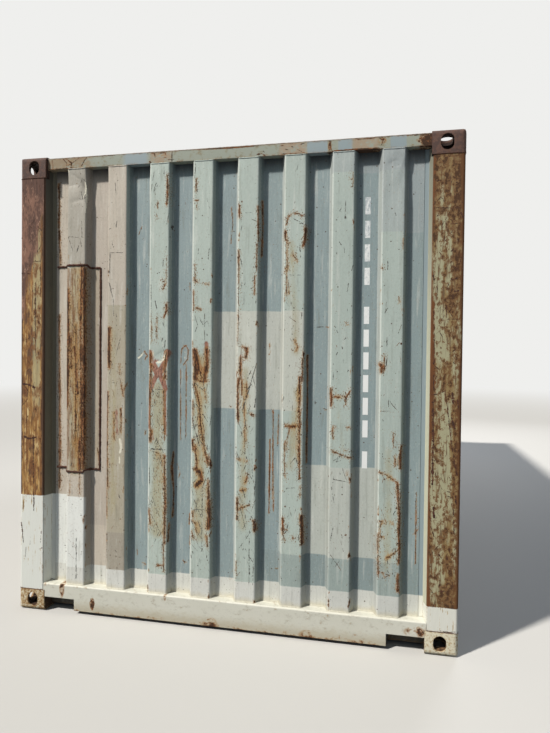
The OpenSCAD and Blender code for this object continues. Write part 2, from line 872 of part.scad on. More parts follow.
module rod_brackets() color(zinc)
    for (side = [-1, 1], x = rod_xs, z = bracket_zs())
        placed(side, 1) translate([x, half_l - rod_set, z]) rod_bracket();

// ring around a rod with a flat bar that reaches past the catch
module door_handle() linear_extrude(handle_h, center = true) difference() {
    union() {
        circle(r = rod_r + hub_t);
        translate([-hub_neck_w / 2, 0]) square([hub_neck_w, rod_set - handle_face]);
        translate([0, rod_set - handle_face - handle_t])
            square([panel_pitch + handle_over, handle_t]);
    }
    circle(r = rod_r + running_gap);
}

// the inner rod's handle points outwards, and the outer rod's points back to it
module each_handle() for (side = [-1, 1]) placed(side, 1) {
    translate([rod_xs[0], half_l - rod_set, handle_high_z]) children();
    translate([rod_xs[1], half_l - rod_set, handle_low_z]) mirror([1, 0, 0]) children();
}

module door_handles() color(zinc) each_handle() door_handle();

// foot plate with a jaw that holds the handle from below and above
module handle_catch() {
    foot_plate();
    for (s = [-1, 1])
        translate([0, rod_set - door_set, s * (handle_h + catch_t + 2 * catch_gap) / 2])
            linear_extrude(catch_t, center = true) translate([-catch_half_w, 0])
                square([2 * catch_half_w, door_set - handle_face + catch_over]);
}

module handle_catches() color(zinc) each_handle() translate([panel_pitch, 0, 0]) handle_catch();

// hinge blade, bent from the pin over the edge of the leaf, with its knuckle and pin
module hinge_blade() {
    linear_extrude(blade_h, center = true) {
        translate([pin_x, half_l - pin_set]) circle(r = knuckle_r);
        polygon(folded([
            [pin_x, half_l - blade_level],
            [jamb_x - blade_clear, half_l - blade_level],
            [leaf_outer_x - blade_edge, half_l - door_set],
            [leaf_outer_x - blade_edge - blade_in, half_l - door_set]
        ], -blade_t));
    }
    translate([pin_x, half_l - pin_set, 0])
        cylinder(r = pin_r, h = blade_h + 2 * (running_gap + lug_h), center = true);
}

module door_hinges(side) color(steel_side) placed(side, 1)
    for (z = hinge_zs()) translate([0, 0, z]) hinge_blade();

module left_door_hinges() door_hinges(-1);
module right_door_hinges() door_hinges(1);

// rubber strip all around each leaf, a little clear of it and of the frame
module door_seals() color(rubber) for (side = [-1, 1]) placed(side, 1)
    run_along(half_l - door_set - seal_back, seal_d) difference() {
        translate([running_gap, floor_z + running_gap])
            square([jamb_x - 2 * running_gap, post_top - floor_z - 2 * running_gap]);
        translate([leaf_inner_x - running_gap, leaf_z - running_gap])
            square([leaf_w + 2 * running_gap, leaf_top - leaf_z + 2 * running_gap]);
    }

// plan of a vent, which widens with the slopes of the recess that it sits in
module vent_plan(clear, depth) {
    inner = (side_pitch - side_ridge_w) / 2 - side_slope_w - clear;
    outer = inner + side_slope_w * depth / side_wave_d;
    polygon([[0, -inner], [depth, -outer], [depth, outer], [0, inner]]);
}

// slotted cover, high in the last recess before the post
module side_vent() {
    slots_h = vent_slots * vent_slot_h + (vent_slots - 1) * vent_slot_h;
    translate([half_w - side_recess_set, (side_ridge_n / 2 - 1) * side_pitch, tube_z - vent_drop - vent_h])
        difference() {
            linear_extrude(vent_h) vent_plan(vent_clear, vent_d);
            for (i = [0 : vent_slots - 1])
                translate([vent_d - vent_slot_d, 0, (vent_h - slots_h) / 2 + 2 * i * vent_slot_h])
                    linear_extrude(vent_slot_h) translate([0, -vent_slot_l / 2])
                        square([vent_slot_d + cut, vent_slot_l]);
        }
}

module side_vents() color(steel_side) {
    placed(1, 1) side_vent();
    placed(-1, -1) side_vent();
}

front_bottom_left_casting();
front_bottom_right_casting();
front_top_left_casting();
front_top_right_casting();
rear_bottom_left_casting();
rear_bottom_right_casting();
rear_top_left_casting();
rear_top_right_casting();
front_left_post();
front_right_post();
rear_left_post();
rear_right_post();
front_sill();
front_header();
door_sill();
door_header();
left_bottom_rail();
right_bottom_rail();
left_top_rail();
right_top_rail();
front_wall();
left_wall();
right_wall();
roof_panel();
front_roof_plate();
rear_roof_plate();
cross_members();
fork_pockets();
floor_boards();
left_door_frame();
right_door_frame();
left_door_panel();
right_door_panel();
left_lock_rods();
right_lock_rods();
rod_brackets();
cam_keepers();
door_handles();
handle_catches();
left_door_hinges();
right_door_hinges();
door_seals();
side_vents();
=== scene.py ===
import json
import math

import bmesh
import bpy
import numpy as np
from mathutils import Matrix, Vector


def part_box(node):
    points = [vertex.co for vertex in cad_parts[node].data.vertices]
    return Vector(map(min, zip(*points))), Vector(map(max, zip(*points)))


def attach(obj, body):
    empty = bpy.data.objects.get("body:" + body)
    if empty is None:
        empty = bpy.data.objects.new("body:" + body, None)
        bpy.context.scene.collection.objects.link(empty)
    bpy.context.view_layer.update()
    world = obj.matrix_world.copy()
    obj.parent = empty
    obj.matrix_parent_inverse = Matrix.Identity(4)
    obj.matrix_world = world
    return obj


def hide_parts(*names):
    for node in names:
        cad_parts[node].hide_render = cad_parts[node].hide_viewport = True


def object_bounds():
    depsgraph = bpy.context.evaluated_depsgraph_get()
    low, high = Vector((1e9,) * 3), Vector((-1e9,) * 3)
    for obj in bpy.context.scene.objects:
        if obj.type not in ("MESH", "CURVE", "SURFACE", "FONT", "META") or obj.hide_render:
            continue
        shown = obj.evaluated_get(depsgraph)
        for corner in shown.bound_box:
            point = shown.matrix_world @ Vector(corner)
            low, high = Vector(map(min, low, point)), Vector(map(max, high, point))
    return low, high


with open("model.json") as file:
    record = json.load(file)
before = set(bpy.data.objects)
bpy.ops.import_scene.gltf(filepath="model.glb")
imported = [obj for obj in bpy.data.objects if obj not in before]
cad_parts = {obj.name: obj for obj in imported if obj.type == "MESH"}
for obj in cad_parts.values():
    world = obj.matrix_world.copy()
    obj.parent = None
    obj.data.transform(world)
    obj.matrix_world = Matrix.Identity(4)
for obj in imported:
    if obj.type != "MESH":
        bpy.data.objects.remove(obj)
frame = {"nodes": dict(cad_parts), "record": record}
cad_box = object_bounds()

MM = 0.001
HALF_W = cad_box[1].x / MM
HALF_L = cad_box[1].y / MM
TOP = cad_box[1].z / MM


# Camera, floor and light
# The photograph was taken from head height, 2.9 m in front of the right half of the blind end, turned
# a little to the left. The floor is a plain pale studio floor, and the light a soft sun from the left.
FOCAL = 573.4          # in pixels of the 550 by 733 picture
PICTURE_H = 733
SENSOR = 36.0
CAMERA_AT = (906, -HALF_L - 2918, 1475)
YAW, PITCH, ROLL = (math.radians(a) for a in (12.05, -1.03, 0.63))

forward = Vector((-math.sin(YAW) * math.cos(PITCH), math.cos(YAW) * math.cos(PITCH), math.sin(PITCH)))
level_right = Vector((math.cos(YAW), math.sin(YAW), 0))
level_up = level_right.cross(forward)
right = math.cos(ROLL) * level_right + math.sin(ROLL) * level_up
up = math.cos(ROLL) * level_up - math.sin(ROLL) * level_right

camera = bpy.data.objects.new("camera", bpy.data.cameras.new("camera"))
camera.data.lens = FOCAL * SENSOR / PICTURE_H
camera.data.sensor_width = SENSOR
camera.data.clip_end = 200
camera.matrix_world = Matrix.Translation(Vector(CAMERA_AT) * MM) @ Matrix(
    (right, up, -forward)).transposed().to_4x4()
bpy.context.scene.collection.objects.link(camera)
bpy.context.scene.camera = camera
bpy.context.scene.view_settings.view_transform = "Standard"


def linear(code):
    """A colour from its sRGB hex code, in linear light."""
    channels = [int(code[i:i + 2], 16) / 255 for i in (1, 3, 5)]
    return [c / 12.92 if c <= 0.04045 else ((c + 0.055) / 1.055) ** 2.4 for c in channels] + [1.0]


def add_node(tree, kind, wires=None, out=0, **settings):
    """Adds one node with its settings and links, and gives back one of its outputs."""
    node = tree.nodes.new("ShaderNode" + kind)
    for name, value in settings.items():
        setattr(node, name, value)
    for socket, value in (wires or {}).items():
        if isinstance(value, bpy.types.NodeSocket):
            tree.links.new(value, node.inputs[socket])
        else:
            node.inputs[socket].default_value = linear(value) if isinstance(value, str) else value
    return node.outputs[out] if node.outputs else node


def in_view(tree):
    """Whether a ray comes straight from the camera, or from it by way of a mirror or of glass."""
    seen = add_node(tree, "LightPath", out="Is Camera Ray")
    rays = seen.node.outputs
    for name in ("Is Glossy Ray", "Is Transmission Ray"):
        seen = add_node(tree, "Math", {0: seen, 1: rays[name]}, operation="MAXIMUM")
    return seen


class Finish:
    """A surface finish: a material built up in coats, each with its colour, roughness and height."""

    def __init__(self, name):
        self.material = bpy.data.materials.new(name)
        self.material.use_nodes = True
        self.tree = self.material.node_tree
        self.tree.nodes.clear()
        self.place = self.add("TexCoord", out="Object")
        self.across = self.add("SeparateXYZ", {0: self.place}, out="X")
        parts = self.across.node.outputs
        self.along, self.height = parts["Y"], parts["Z"]

    def add(self, kind, wires=None, out=0, **settings):
        """Adds one node to this finish."""
        return add_node(self.tree, kind, wires, out, **settings)

    def math(self, operation, *values):
        """One step of arithmetic on numbers and patterns."""
        return self.add("Math", dict(enumerate(values)), operation=operation)

    def cloud(self, size, stretch=1, rough=0.6, detail=6, seed=0):
        """Cloudy pattern from 0 to 1, its patches about size mm wide and drawn out upright, or by axis."""
        stretch = stretch if isinstance(stretch, tuple) else (1, 1, stretch)
        scale = [1 / (size * MM * s) for s in stretch]
        spot = self.add("Mapping", {0: self.place, "Location": (seed, -seed, 2 * seed), "Scale": scale})
        return self.add("TexNoise", {0: spot, "Scale": 1, "Detail": detail, "Roughness": rough})

    def where(self, value, low, high, *within):
        """Mask that rises softly as a value goes from low to high, kept inside other masks."""
        found = self.add("MapRange", {0: value, 1: low, 2: high}, interpolation_type="SMOOTHSTEP")
        for other in within:
            found = self.math("MULTIPLY", found, other)
        return found

    def nudged(self, value, pattern, amount):
        """A value moved up and down by a pattern, to roughen the edge of a mask."""
        shift = self.math("MULTIPLY_ADD", pattern, amount, -amount / 2)
        return self.math("ADD", value, shift)

    def mark(self, name):
        """How strongly a kind of mark was set on the mesh."""
        return self.add("Attribute", out="Fac", attribute_name=name, attribute_type="GEOMETRY")

    def shade(self, one, other, share):
        """A colour between two colours."""
        return self.add("Mix", {0: share, 6: one, 7: other}, out=2, data_type="RGBA")

    def coat(self, under, colour, rough, rise, mask):
        """Lays a coat over what is under it where the mask says. The rise is in millimetres."""
        return {
            "colour": self.shade(under["colour"], colour, mask),
            "rough": self.add("Mix", {0: mask, 2: under["rough"], 3: rough}),
            "rise": self.add("Mix", {0: mask, 2: under["rise"], 3: rise}),
        }

    def wash(self, under, colour, share, rough, mask):
        """Lays a thin coat that lets what is under it show through, and keeps its height."""
        return self.coat(under, self.shade(under["colour"], colour, share), rough, under["rise"], mask)

    def done(self, top, metallic=0.0):
        """Ends the material with the shader, and gives it back."""
        bump = self.add("Bump", {"Strength": 1.0, "Distance": MM, "Height": top["rise"]})
        shader = self.add("BsdfPrincipled", {
            "Base Color": top["colour"], "Roughness": top["rough"], "Metallic": metallic, "Normal": bump})
        self.add("OutputMaterial", {0: shader})
        return self.material


# painted studio floor: a pale matt sheet, a little darker for the light that it throws back, that fades
# into the backdrop far behind the container
FLOOR_R, FLOOR_SIDES, FLOOR_DROP = 60000, 96, 0.5
FADE_FROM, FADE_TO = 9, 26          # in metres from the middle of the container
BACKDROP = "#efefed"
floor_mesh = bpy.data.meshes.new("studio_floor")
floor_ring = [(FLOOR_R * MM * math.cos(k * math.tau / FLOOR_SIDES),
               FLOOR_R * MM * math.sin(k * math.tau / FLOOR_SIDES), 0) for k in range(FLOOR_SIDES)]
floor_mesh.from_pydata(floor_ring, [], [range(FLOOR_SIDES)])
studio_floor = bpy.data.objects.new("studio_floor", floor_mesh)
studio_floor.location.z = -FLOOR_DROP * MM
bpy.context.scene.collection.objects.link(studio_floor)

matt = Finish("matt_studio_paint")
seen = in_view(matt.tree)
floor_tone = matt.shade("#6e7276", "#c3c2be", seen)
floor_shader = matt.add("BsdfDiffuse", {"Color": floor_tone})
distance = matt.add("VectorMath", {0: matt.place}, out="Value", operation="LENGTH")
far = matt.where(distance, FADE_FROM, FADE_TO, seen)
haze = matt.add("Emission", {0: BACKDROP})
floor_mix = matt.add("MixShader", {0: far, 1: floor_shader, 2: haze})
matt.add("OutputMaterial", {0: floor_mix})
floor_mesh.materials.append(matt.material)

# the sky lights softly from all sides, and is seen as a plain pale backdrop
world = bpy.data.worlds.new("studio")
bpy.context.scene.world = world
world.use_nodes = True
sky = world.node_tree
sky.nodes.clear()
lit = add_node(sky, "Background", {0: "#d3e3f9", 1: 0.24})
backdrop = add_node(sky, "Background", {0: BACKDROP})
choice = add_node(sky, "MixShader", {0: in_view(sky), 1: lit, 2: backdrop})
add_node(sky, "OutputWorld", {0: choice})

# soft sun from the left, where the photograph has it, and a lamp with a narrow beam on the door end
SUN_FROM = Vector((-1621, -1650, 2591))
sun = bpy.data.objects.new("sun", bpy.data.lights.new("sun", "SUN"))
sun.data.energy = 4.7
sun.data.angle = math.radians(3.5)
sun.data.color = linear("#fffaf3")[:3]
sun.rotation_euler = SUN_FROM.to_track_quat("Z", "Y").to_euler()
bpy.context.scene.collection.objects.link(sun)

FILL_AT = Vector((4200, 10500, 5200))
fill = bpy.data.objects.new("fill", bpy.data.lights.new("fill", "AREA"))
fill.data.size = 5
fill.data.spread = math.radians(50)
fill.data.energy = 110
fill.data.color = linear("#f4f6fb")[:3]
fill.visible_camera = False
fill.location = FILL_AT * MM
fill.rotation_euler = FILL_AT.to_track_quat("Z", "Y").to_euler()
bpy.context.scene.collection.objects.link(fill)


# Front wall
# One pressed steel sheet with eight upright ridges, 2 mm thick, welded to the posts, sill and header.
# Its paint is years of roller coats over a faded first coat, scratched by other containers and chains.
RIDGES = 8
RIDGE_PITCH = 250
RIDGE_W = 110
SLOPE_W = 18
RIDGE_SET = 20
RECESS_SET = 65.6
BEND_R = 9
SHEET_T = 2
MESH_STEP, MESH_ROWS, BACK_ROWS = 8.6, 210, 24
wall_low, wall_high = (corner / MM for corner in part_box("front_wall"))


def wave_line(n, pitch, ridge_w, slope_w, near, deep, half):
    """Folded line of a corrugated sheet: along the wall, and set-back behind its outer plane."""
    line = [(-half, deep)]
    for i in range(n):
        middle = (i - (n - 1) / 2) * pitch
        line += [(middle - ridge_w / 2 - slope_w, deep), (middle - ridge_w / 2, near),
                 (middle + ridge_w / 2, near), (middle + ridge_w / 2 + slope_w, deep)]
    return line + [(half, deep)]


def soft_bends(line, radius, step, turns=4):
    """The same line with each bend rounded and each straight stretch divided into even steps."""
    points = [np.array(p, float) for p in line]
    rounded = [points[0]]
    for before, corner, after in zip(points, points[1:], points[2:]):
        into = (corner - before) / np.linalg.norm(corner - before)
        away = (after - corner) / np.linalg.norm(after - corner)
        turn = math.atan2(into[0] * away[1] - into[1] * away[0], into @ away)
        reach = radius * math.tan(abs(turn) / 2)
        start = corner - into * reach
        side = np.array((-into[1], into[0])) * math.copysign(radius, turn)
        for k in range(turns + 1):
            angle = turn * k / turns
            spin = np.array(((math.cos(angle), -math.sin(angle)), (math.sin(angle), math.cos(angle))))
            rounded.append(start + side - spin @ side)
    rounded.append(points[-1])
    divided = [rounded[0]]
    for a, b in zip(rounded, rounded[1:]):
        parts = max(1, math.ceil(np.linalg.norm(b - a) / step))
        divided += [a + (b - a) * k / parts for k in range(1, parts + 1)]
    return np.array(divided)


def pressed_sheet(name, line, bottom, top, rows, back_rows, thick, put, push):
    """Closed mesh of a folded sheet. put() places a point, and push() gives the dents' depth."""
    tangent = np.gradient(line, axis=0)
    normal = np.stack((-tangent[:, 1], tangent[:, 0]), 1) / np.linalg.norm(tangent, axis=1)[:, None]
    points, grids = [], []
    for count, behind in ((rows, 0), (back_rows, thick)):
        heights = np.linspace(bottom, top, count)
        side = line + normal * behind
        along, up_ = np.meshgrid(side[:, 0], heights)
        deep = np.repeat(side[None, :, 1], count, 0) + push(along, up_)
        grids.append(np.arange(along.size).reshape(along.shape) + sum(len(p) for p in points))
        points.append(np.array(put(along.ravel(), deep.ravel(), up_.ravel())).T)
    faces = []
    for grid, flip in zip(grids, (False, True)):
        quads = np.stack((grid[:-1, :-1], grid[:-1, 1:], grid[1:, 1:], grid[1:, :-1]), -1).reshape(-1, 4)
        faces += (quads[:, ::-1] if flip else quads).tolist()
    near, far_ = grids
    for a, b in ((near[0], far_[0]), (far_[-1], near[-1])):
        faces += [[a[k], b[k], b[k + 1], a[k + 1]] for k in range(len(a) - 1)]
    faces.append(list(near[:, 0][::-1]) + list(far_[:, 0]))
    faces.append(list(near[:, -1]) + list(far_[:, -1][::-1]))
    return new_piece(name, new_mesh(name, np.concatenate(points), [[int(v) for v in f] for f in faces]))


def new_mesh(name, points, faces):
    """A mesh of points in millimetres and of faces."""
    mesh = bpy.data.meshes.new(name)
    mesh.from_pydata((np.array(points) * MM).tolist(), [], faces)
    return mesh


def new_piece(name, mesh, sharp=35):
    """A mesh made into a piece that rides on the container, smooth except at real edges."""
    mesh.validate()
    edit = bmesh.new()
    edit.from_mesh(mesh)
    bmesh.ops.recalc_face_normals(edit, faces=edit.faces)
    edit.to_mesh(mesh)
    edit.free()
    mesh.shade_smooth()
    mesh.set_sharp_from_angle(angle=math.radians(sharp))
    piece = bpy.data.objects.new(name, mesh)
    bpy.context.scene.collection.objects.link(piece)
    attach(piece, "root")
    return piece


def finished(piece, look):
    """Gives a piece its material."""
    piece.data.materials.clear()
    piece.data.materials.append(look)


def hollow(x, z, at, size, depth):
    """Depth of a soft dent with its middle at (x, z) and its spread given across and up."""
    return depth * np.exp(-((x - at[0]) / size[0]) ** 2 - ((z - at[1]) / size[1]) ** 2)


def crease(x, z, start, end, width, depth):
    """Depth of a sharp fold along a line from start to end, that fades out at both ends."""
    start, run = np.array(start, float), np.array(end, float) - start
    share = ((x - start[0]) * run[0] + (z - start[1]) * run[1]) / (run @ run)
    off = ((x - start[0]) * run[1] - (z - start[1]) * run[0]) / np.linalg.norm(run)
    fade = np.clip(1.15 - abs(2 * share - 1), 0, 0.5) * 2
    return depth * np.clip(1 - abs(off) / width, 0, 1) * fade


def front_dents(x, z):
    """Dents and folds of the front wall: two crumpled ridge tops, and the slack of an old sheet."""
    slack = 1.6 * np.sin(x / 171 + z / 390) + 1.3 * np.sin(x / 97 - z / 223 + 2)
    slack = slack + 0.8 * np.sin(z / 71 + x / 43)
    fade = np.clip((z - wall_low.z) / 90, 0, 1) * np.clip((wall_high.z - z) / 60, 0, 1)
    slack = slack * np.clip((abs(front_half) - abs(x)) / 60, 0, 1)
    dents = sum(hollow(x, z, *d) for d in (
        ((-925, 2470), (26, 60), 8),
        ((-830, 2400), (22, 60), 7),
        ((-880, 2440), (30, 36), 5),
        ((925, 2380), (22, 60), 7),
        ((890, 2450), (34, 50), 5),
        ((860, 2280), (40, 90), 3),
        ((-375, 1470), (50, 60), 5),
        ((-125, 1400), (45, 90), 4),
    ))
    dents += sum(crease(x, z, *c) for c in (
        ((-936, 2515), (-915, 2430), 15, 6),
        ((-925, 2480), (-880, 2470), 13, 4),
        ((-925, 2440), (-850, 2452), 12, 3),
        ((-860, 2440), (-826, 2400), 14, 5),
        ((-838, 2450), (-822, 2370), 12, 6),
        ((-915, 2330), (-845, 2345), 13, 3),
        ((880, 2504), (928, 2466), 15, 4),
        ((928, 2466), (934, 2417), 13, 5),
        ((846, 2447), (905, 2440), 16, 3),
        ((600, 2260), (660, 2180), 18, 3),
        ((-330, 1500), (-420, 1430), 18, 5),
    ))
    return (slack + dents) * fade


front_half = wall_high.x
front_line = soft_bends(
    wave_line(RIDGES, RIDGE_PITCH, RIDGE_W, SLOPE_W, RIDGE_SET, RECESS_SET, front_half), BEND_R, MESH_STEP)
front_wall = pressed_sheet(
    "front_wall_sheet", front_line, wall_low.z, wall_high.z, MESH_ROWS, BACK_ROWS, SHEET_T,
    lambda x, d, z: (x, -HALF_L + d, z), front_dents)
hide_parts("front_wall")


def set_marks(piece, name, marks, spread=0, axis=0):
    """Sets a kind of mark on the mesh: each is a width, a strength and the line that it follows.

    It fades out to nothing at its width and spread from the line.
    """
    place = np.empty(len(piece.data.vertices) * 3, np.float32)
    piece.data.vertices.foreach_get("co", place)
    spot = place.reshape(-1, 3)[:, (axis, 2)] / MM
    value = np.zeros(len(spot))
    for width, strength, line in marks:
        line = np.array(line, float)
        reach = width + spread
        close = (spot > line.min(0) - reach).all(1) & (spot < line.max(0) + reach).all(1)
        near = spot[close]
        gap = np.full(len(near), np.inf)
        for a, b in zip(line, line[1:]):
            share = np.clip((near - a) @ (b - a) / max((b - a) @ (b - a), 1e-6), 0, 1)
            gap = np.minimum(gap, np.linalg.norm(near - a - share[:, None] * (b - a), axis=1))
        value[close] = np.maximum(value[close], strength * np.clip(1 - gap / reach, 0, 1))
    layer = piece.data.attributes.new(name, "FLOAT", "POINT")
    layer.data.foreach_set("value", value.astype(np.float32))


def strokes(*rows):
    """Marks from rows of a width, a strength and the points passed through, each across and up."""
    return [(width, strength, [way[i:i + 2] for i in range(0, len(way), 2)])
            for width, strength, *way in rows]


# rust where the paint was struck through: on the ridges from left to right, then in the recesses
ridge_rust = strokes(
    (18, 0.85, -840, 1972, -842, 1600, -838, 1200, -840, 820),
    (12, 0.95, -824, 1960, -822, 1300, -824, 830), (34, 0.75, -885, 1520, -870, 1400, -860, 1250),
    (20, 0.9, -922, 1840, -926, 1700, -920, 1560, -922, 1400, -925, 1170),
    (18, 0.8, -905, 1560, -900, 1400), (12, 0.7, -874, 1640, -873, 1300, -876, 960),
    (22, 0.7, -850, 1000, -852, 900, -850, 815), (16, 0.6, -848, 810, -846, 680),
    (8, 0.5, -910, 800, -910, 680), (14, 0.8, -1008, 1700, -1004, 1400, -1000, 1000, -1002, 700),
    (12, 0.7, -1015, 2450, -1010, 2350, -1014, 2200), (16, 0.75, -1010, 2180, -1006, 2080, -1000, 1975),
    (16, 0.95, -670, 1620, -672, 1530, -668, 1400), (9, 0.8, -679, 1265, -678, 1000, -675, 740),
    (13, 0.8, -676, 860, -674, 730), (7, 0.6, -678, 720, -676, 560),
    (9, 0.7, -636, 1155, -637, 1060, -634, 1003), (11, 0.75, -596, 1175, -594, 1100, -596, 1040),
    (8, 0.6, -608, 1420, -602, 1360), (6, 0.6, -600, 1335, -580, 1240),
    (9, 0.85, -332, 2455, -328, 2380, -332, 2290), (7, 0.8, -385, 2308, -386, 2277),
    (6, 0.6, -390, 2238, -388, 2212), (6, 0.5, -333, 2020, -332, 1865),
    (14, 0.75, -355, 1878, -335, 1868, -352, 1832), (8, 0.8, -331, 1755, -328, 1717, -345, 1680),
    (6, 0.7, -385, 1682, -386, 1551), (6, 0.5, -420, 1708, -415, 1540), (22, 0.8, -422, 1480, -418, 1350),
    (20, 0.8, -333, 1490, -338, 1350), (20, 0.6, -420, 1350, -425, 1240), (8, 0.7, -424, 1290, -418, 1060),
    (10, 0.7, -342, 1280, -336, 1010), (22, 0.8, -415, 1055, -418, 1000),
    (14, 0.8, -336, 925, -333, 800, -330, 640, -332, 440), (12, 0.5, -420, 950, -360, 930, -345, 860),
    (9, 0.8, -424, 620, -415, 540), (14, 0.9, -372, 316, -345, 316), (8, 0.7, -338, 440, -334, 285),
    (7, 0.8, -163, 2425, -164, 2355), (9, 0.8, -170, 2308, -155, 2306), (7, 0.5, -161, 2285, -160, 2255),
    (7, 0.7, -168, 1968, -166, 1864), (22, 0.7, -172, 1885, -150, 1868), (14, 0.55, -140, 1862, -90, 1856),
    (9, 0.7, -176, 1820, -172, 1716), (14, 0.8, -155, 1730, -136, 1722), (10, 0.6, -177, 1551, -178, 1480),
    (30, 1.0, -165, 1500, -155, 1430, -160, 1350), (26, 0.9, -100, 1505, -95, 1440, -110, 1350),
    (18, 0.8, -140, 1400, -125, 1350), (10, 0.8, -170, 1350, -120, 1330, -90, 1340),
    (7, 0.9, -168, 1325, -139, 1220, -130, 1100, -108, 977, -82, 882), (6, 0.5, -108, 1290, -98, 1220),
    (8, 0.6, -176, 1230, -172, 1100), (13, 0.9, -176, 1016, -168, 960),
    (12, 0.85, -160, 986, -150, 900, -146, 838), (24, 0.95, -158, 860, -130, 845, -118, 800, -150, 770),
    (12, 0.8, -83, 803, -80, 700), (17, 0.95, -78, 690, -76, 600, -80, 543), (8, 0.8, -170, 630, -168, 595),
    (10, 0.8, -170, 577, -150, 560), (9, 0.8, -175, 520, -165, 482), (8, 0.7, -150, 540, -145, 520),
    (7, 0.7, -88, 500, -84, 440), (7, 0.85, 77, 2269, 77, 2208), (6, 0.7, 178, 2264, 180, 2073),
    (6, 0.7, 76, 2030, 78, 1838), (6, 0.6, 77, 1838, 76, 1530), (7, 0.7, 174, 2060, 172, 1917),
    (9, 0.7, 163, 1900, 164, 1795), (20, 0.75, 100, 1525, 128, 1510, 118, 1465),
    (14, 0.8, 92, 1465, 90, 1350), (9, 0.9, 80, 1350, 78, 1250, 80, 1143), (7, 0.8, 100, 1343, 101, 1270),
    (7, 0.8, 127, 1330, 128, 1256), (6, 0.6, 112, 1256, 118, 1130, 122, 986),
    (9, 0.8, 150, 1170, 168, 1160), (8, 0.7, 82, 1170, 84, 1120), (8, 0.8, 78, 925, 90, 922),
    (9, 0.8, 130, 920, 135, 912), (7, 0.8, 138, 851, 128, 803), (7, 0.7, 95, 757, 128, 764),
    (11, 0.8, 80, 717, 82, 640, 80, 603), (8, 0.8, 92, 660, 125, 675, 150, 682),
    (16, 0.95, 170, 600, 178, 575, 176, 547), (6, 0.6, 77, 377, 78, 282),
    (7, 0.8, 331, 2160, 340, 2205, 357, 2212), (6, 0.8, 366, 2221, 400, 2212, 421, 2199),
    (10, 0.95, 325, 2125, 326, 2085, 335, 2073), (11, 0.95, 432, 2143, 429, 2080, 420, 2045),
    (7, 0.7, 336, 2073, 338, 1917), (6, 0.55, 334, 1917, 336, 1795), (6, 0.5, 340, 1900, 352, 1795),
    (6, 0.7, 370, 2003, 392, 1969), (12, 0.6, 380, 1560, 398, 1530, 392, 1505),
    (9, 0.8, 424, 1464, 425, 1350), (14, 0.8, 410, 1370, 412, 1250, 408, 1186),
    (9, 0.9, 413, 1186, 412, 1000, 416, 838), (6, 0.7, 420, 800, 418, 740),
    (13, 0.9, 338, 1113, 365, 1108, 392, 1113), (7, 0.7, 336, 1030, 334, 930, 338, 838),
    (6, 0.6, 362, 1099, 346, 1040, 346, 977), (13, 0.95, 328, 625, 331, 575, 330, 545),
    (8, 0.7, 332, 545, 342, 505), (7, 0.8, 320, 566, 352, 566), (15, 0.95, 426, 638, 430, 570, 432, 500),
    (10, 1.0, 384, 527, 386, 526), (6, 0.5, 673, 2412, 672, 2334), (7, 0.5, 655, 2380, 670, 2372),
    (8, 0.75, 646, 1648, 655, 1640), (12, 0.9, 573, 1308, 577, 1260, 575, 1221),
    (8, 0.85, 590, 1271, 620, 1270), (8, 0.85, 640, 1271, 655, 1273, 672, 1303),
    (6, 0.8, 650, 1268, 652, 1230), (8, 0.8, 584, 1113, 596, 1113), (8, 0.8, 660, 1115, 672, 1115),
    (6, 0.8, 586, 1099, 588, 1051), (7, 0.85, 580, 992, 630, 972, 682, 958), (5, 0.6, 630, 1003, 682, 990),
    (6, 0.5, 660, 885, 664, 872), (5, 0.5, 926, 2073, 925, 2012), (7, 0.8, 825, 1926, 826, 1922),
    (6, 0.6, 909, 1777, 911, 1755), (15, 0.85, 818, 1440, 830, 1425, 828, 1405),
    (6, 0.8, 841, 1482, 840, 1410), (5, 0.5, 828, 1203, 875, 1205),
    (6, 0.7, 889, 1099, 892, 1050, 895, 1012), (7, 0.7, 900, 986, 902, 925),
    (9, 0.9, 930, 1030, 926, 970, 928, 917), (9, 0.8, 824, 893, 840, 886),
    (5, 0.8, 849, 886, 914, 847, 930, 769), (14, 0.9, 915, 838, 920, 760, 926, 680, 925, 600),
    (11, 0.9, 924, 600, 928, 520, 926, 438), (8, 0.8, 828, 642, 846, 640), (9, 0.7, 832, 630, 830, 580),
    (6, 0.8, 820, 564, 848, 564), (7, 0.75, 822, 577, 822, 480, 826, 369), (7, 0.7, 889, 642, 896, 632),
    (6, 0.8, 866, 460, 895, 480, 920, 503), (13, 0.6, 838, 385, 880, 375, 860, 362),
    (9, 0.8, 922, 382, 924, 300),
)
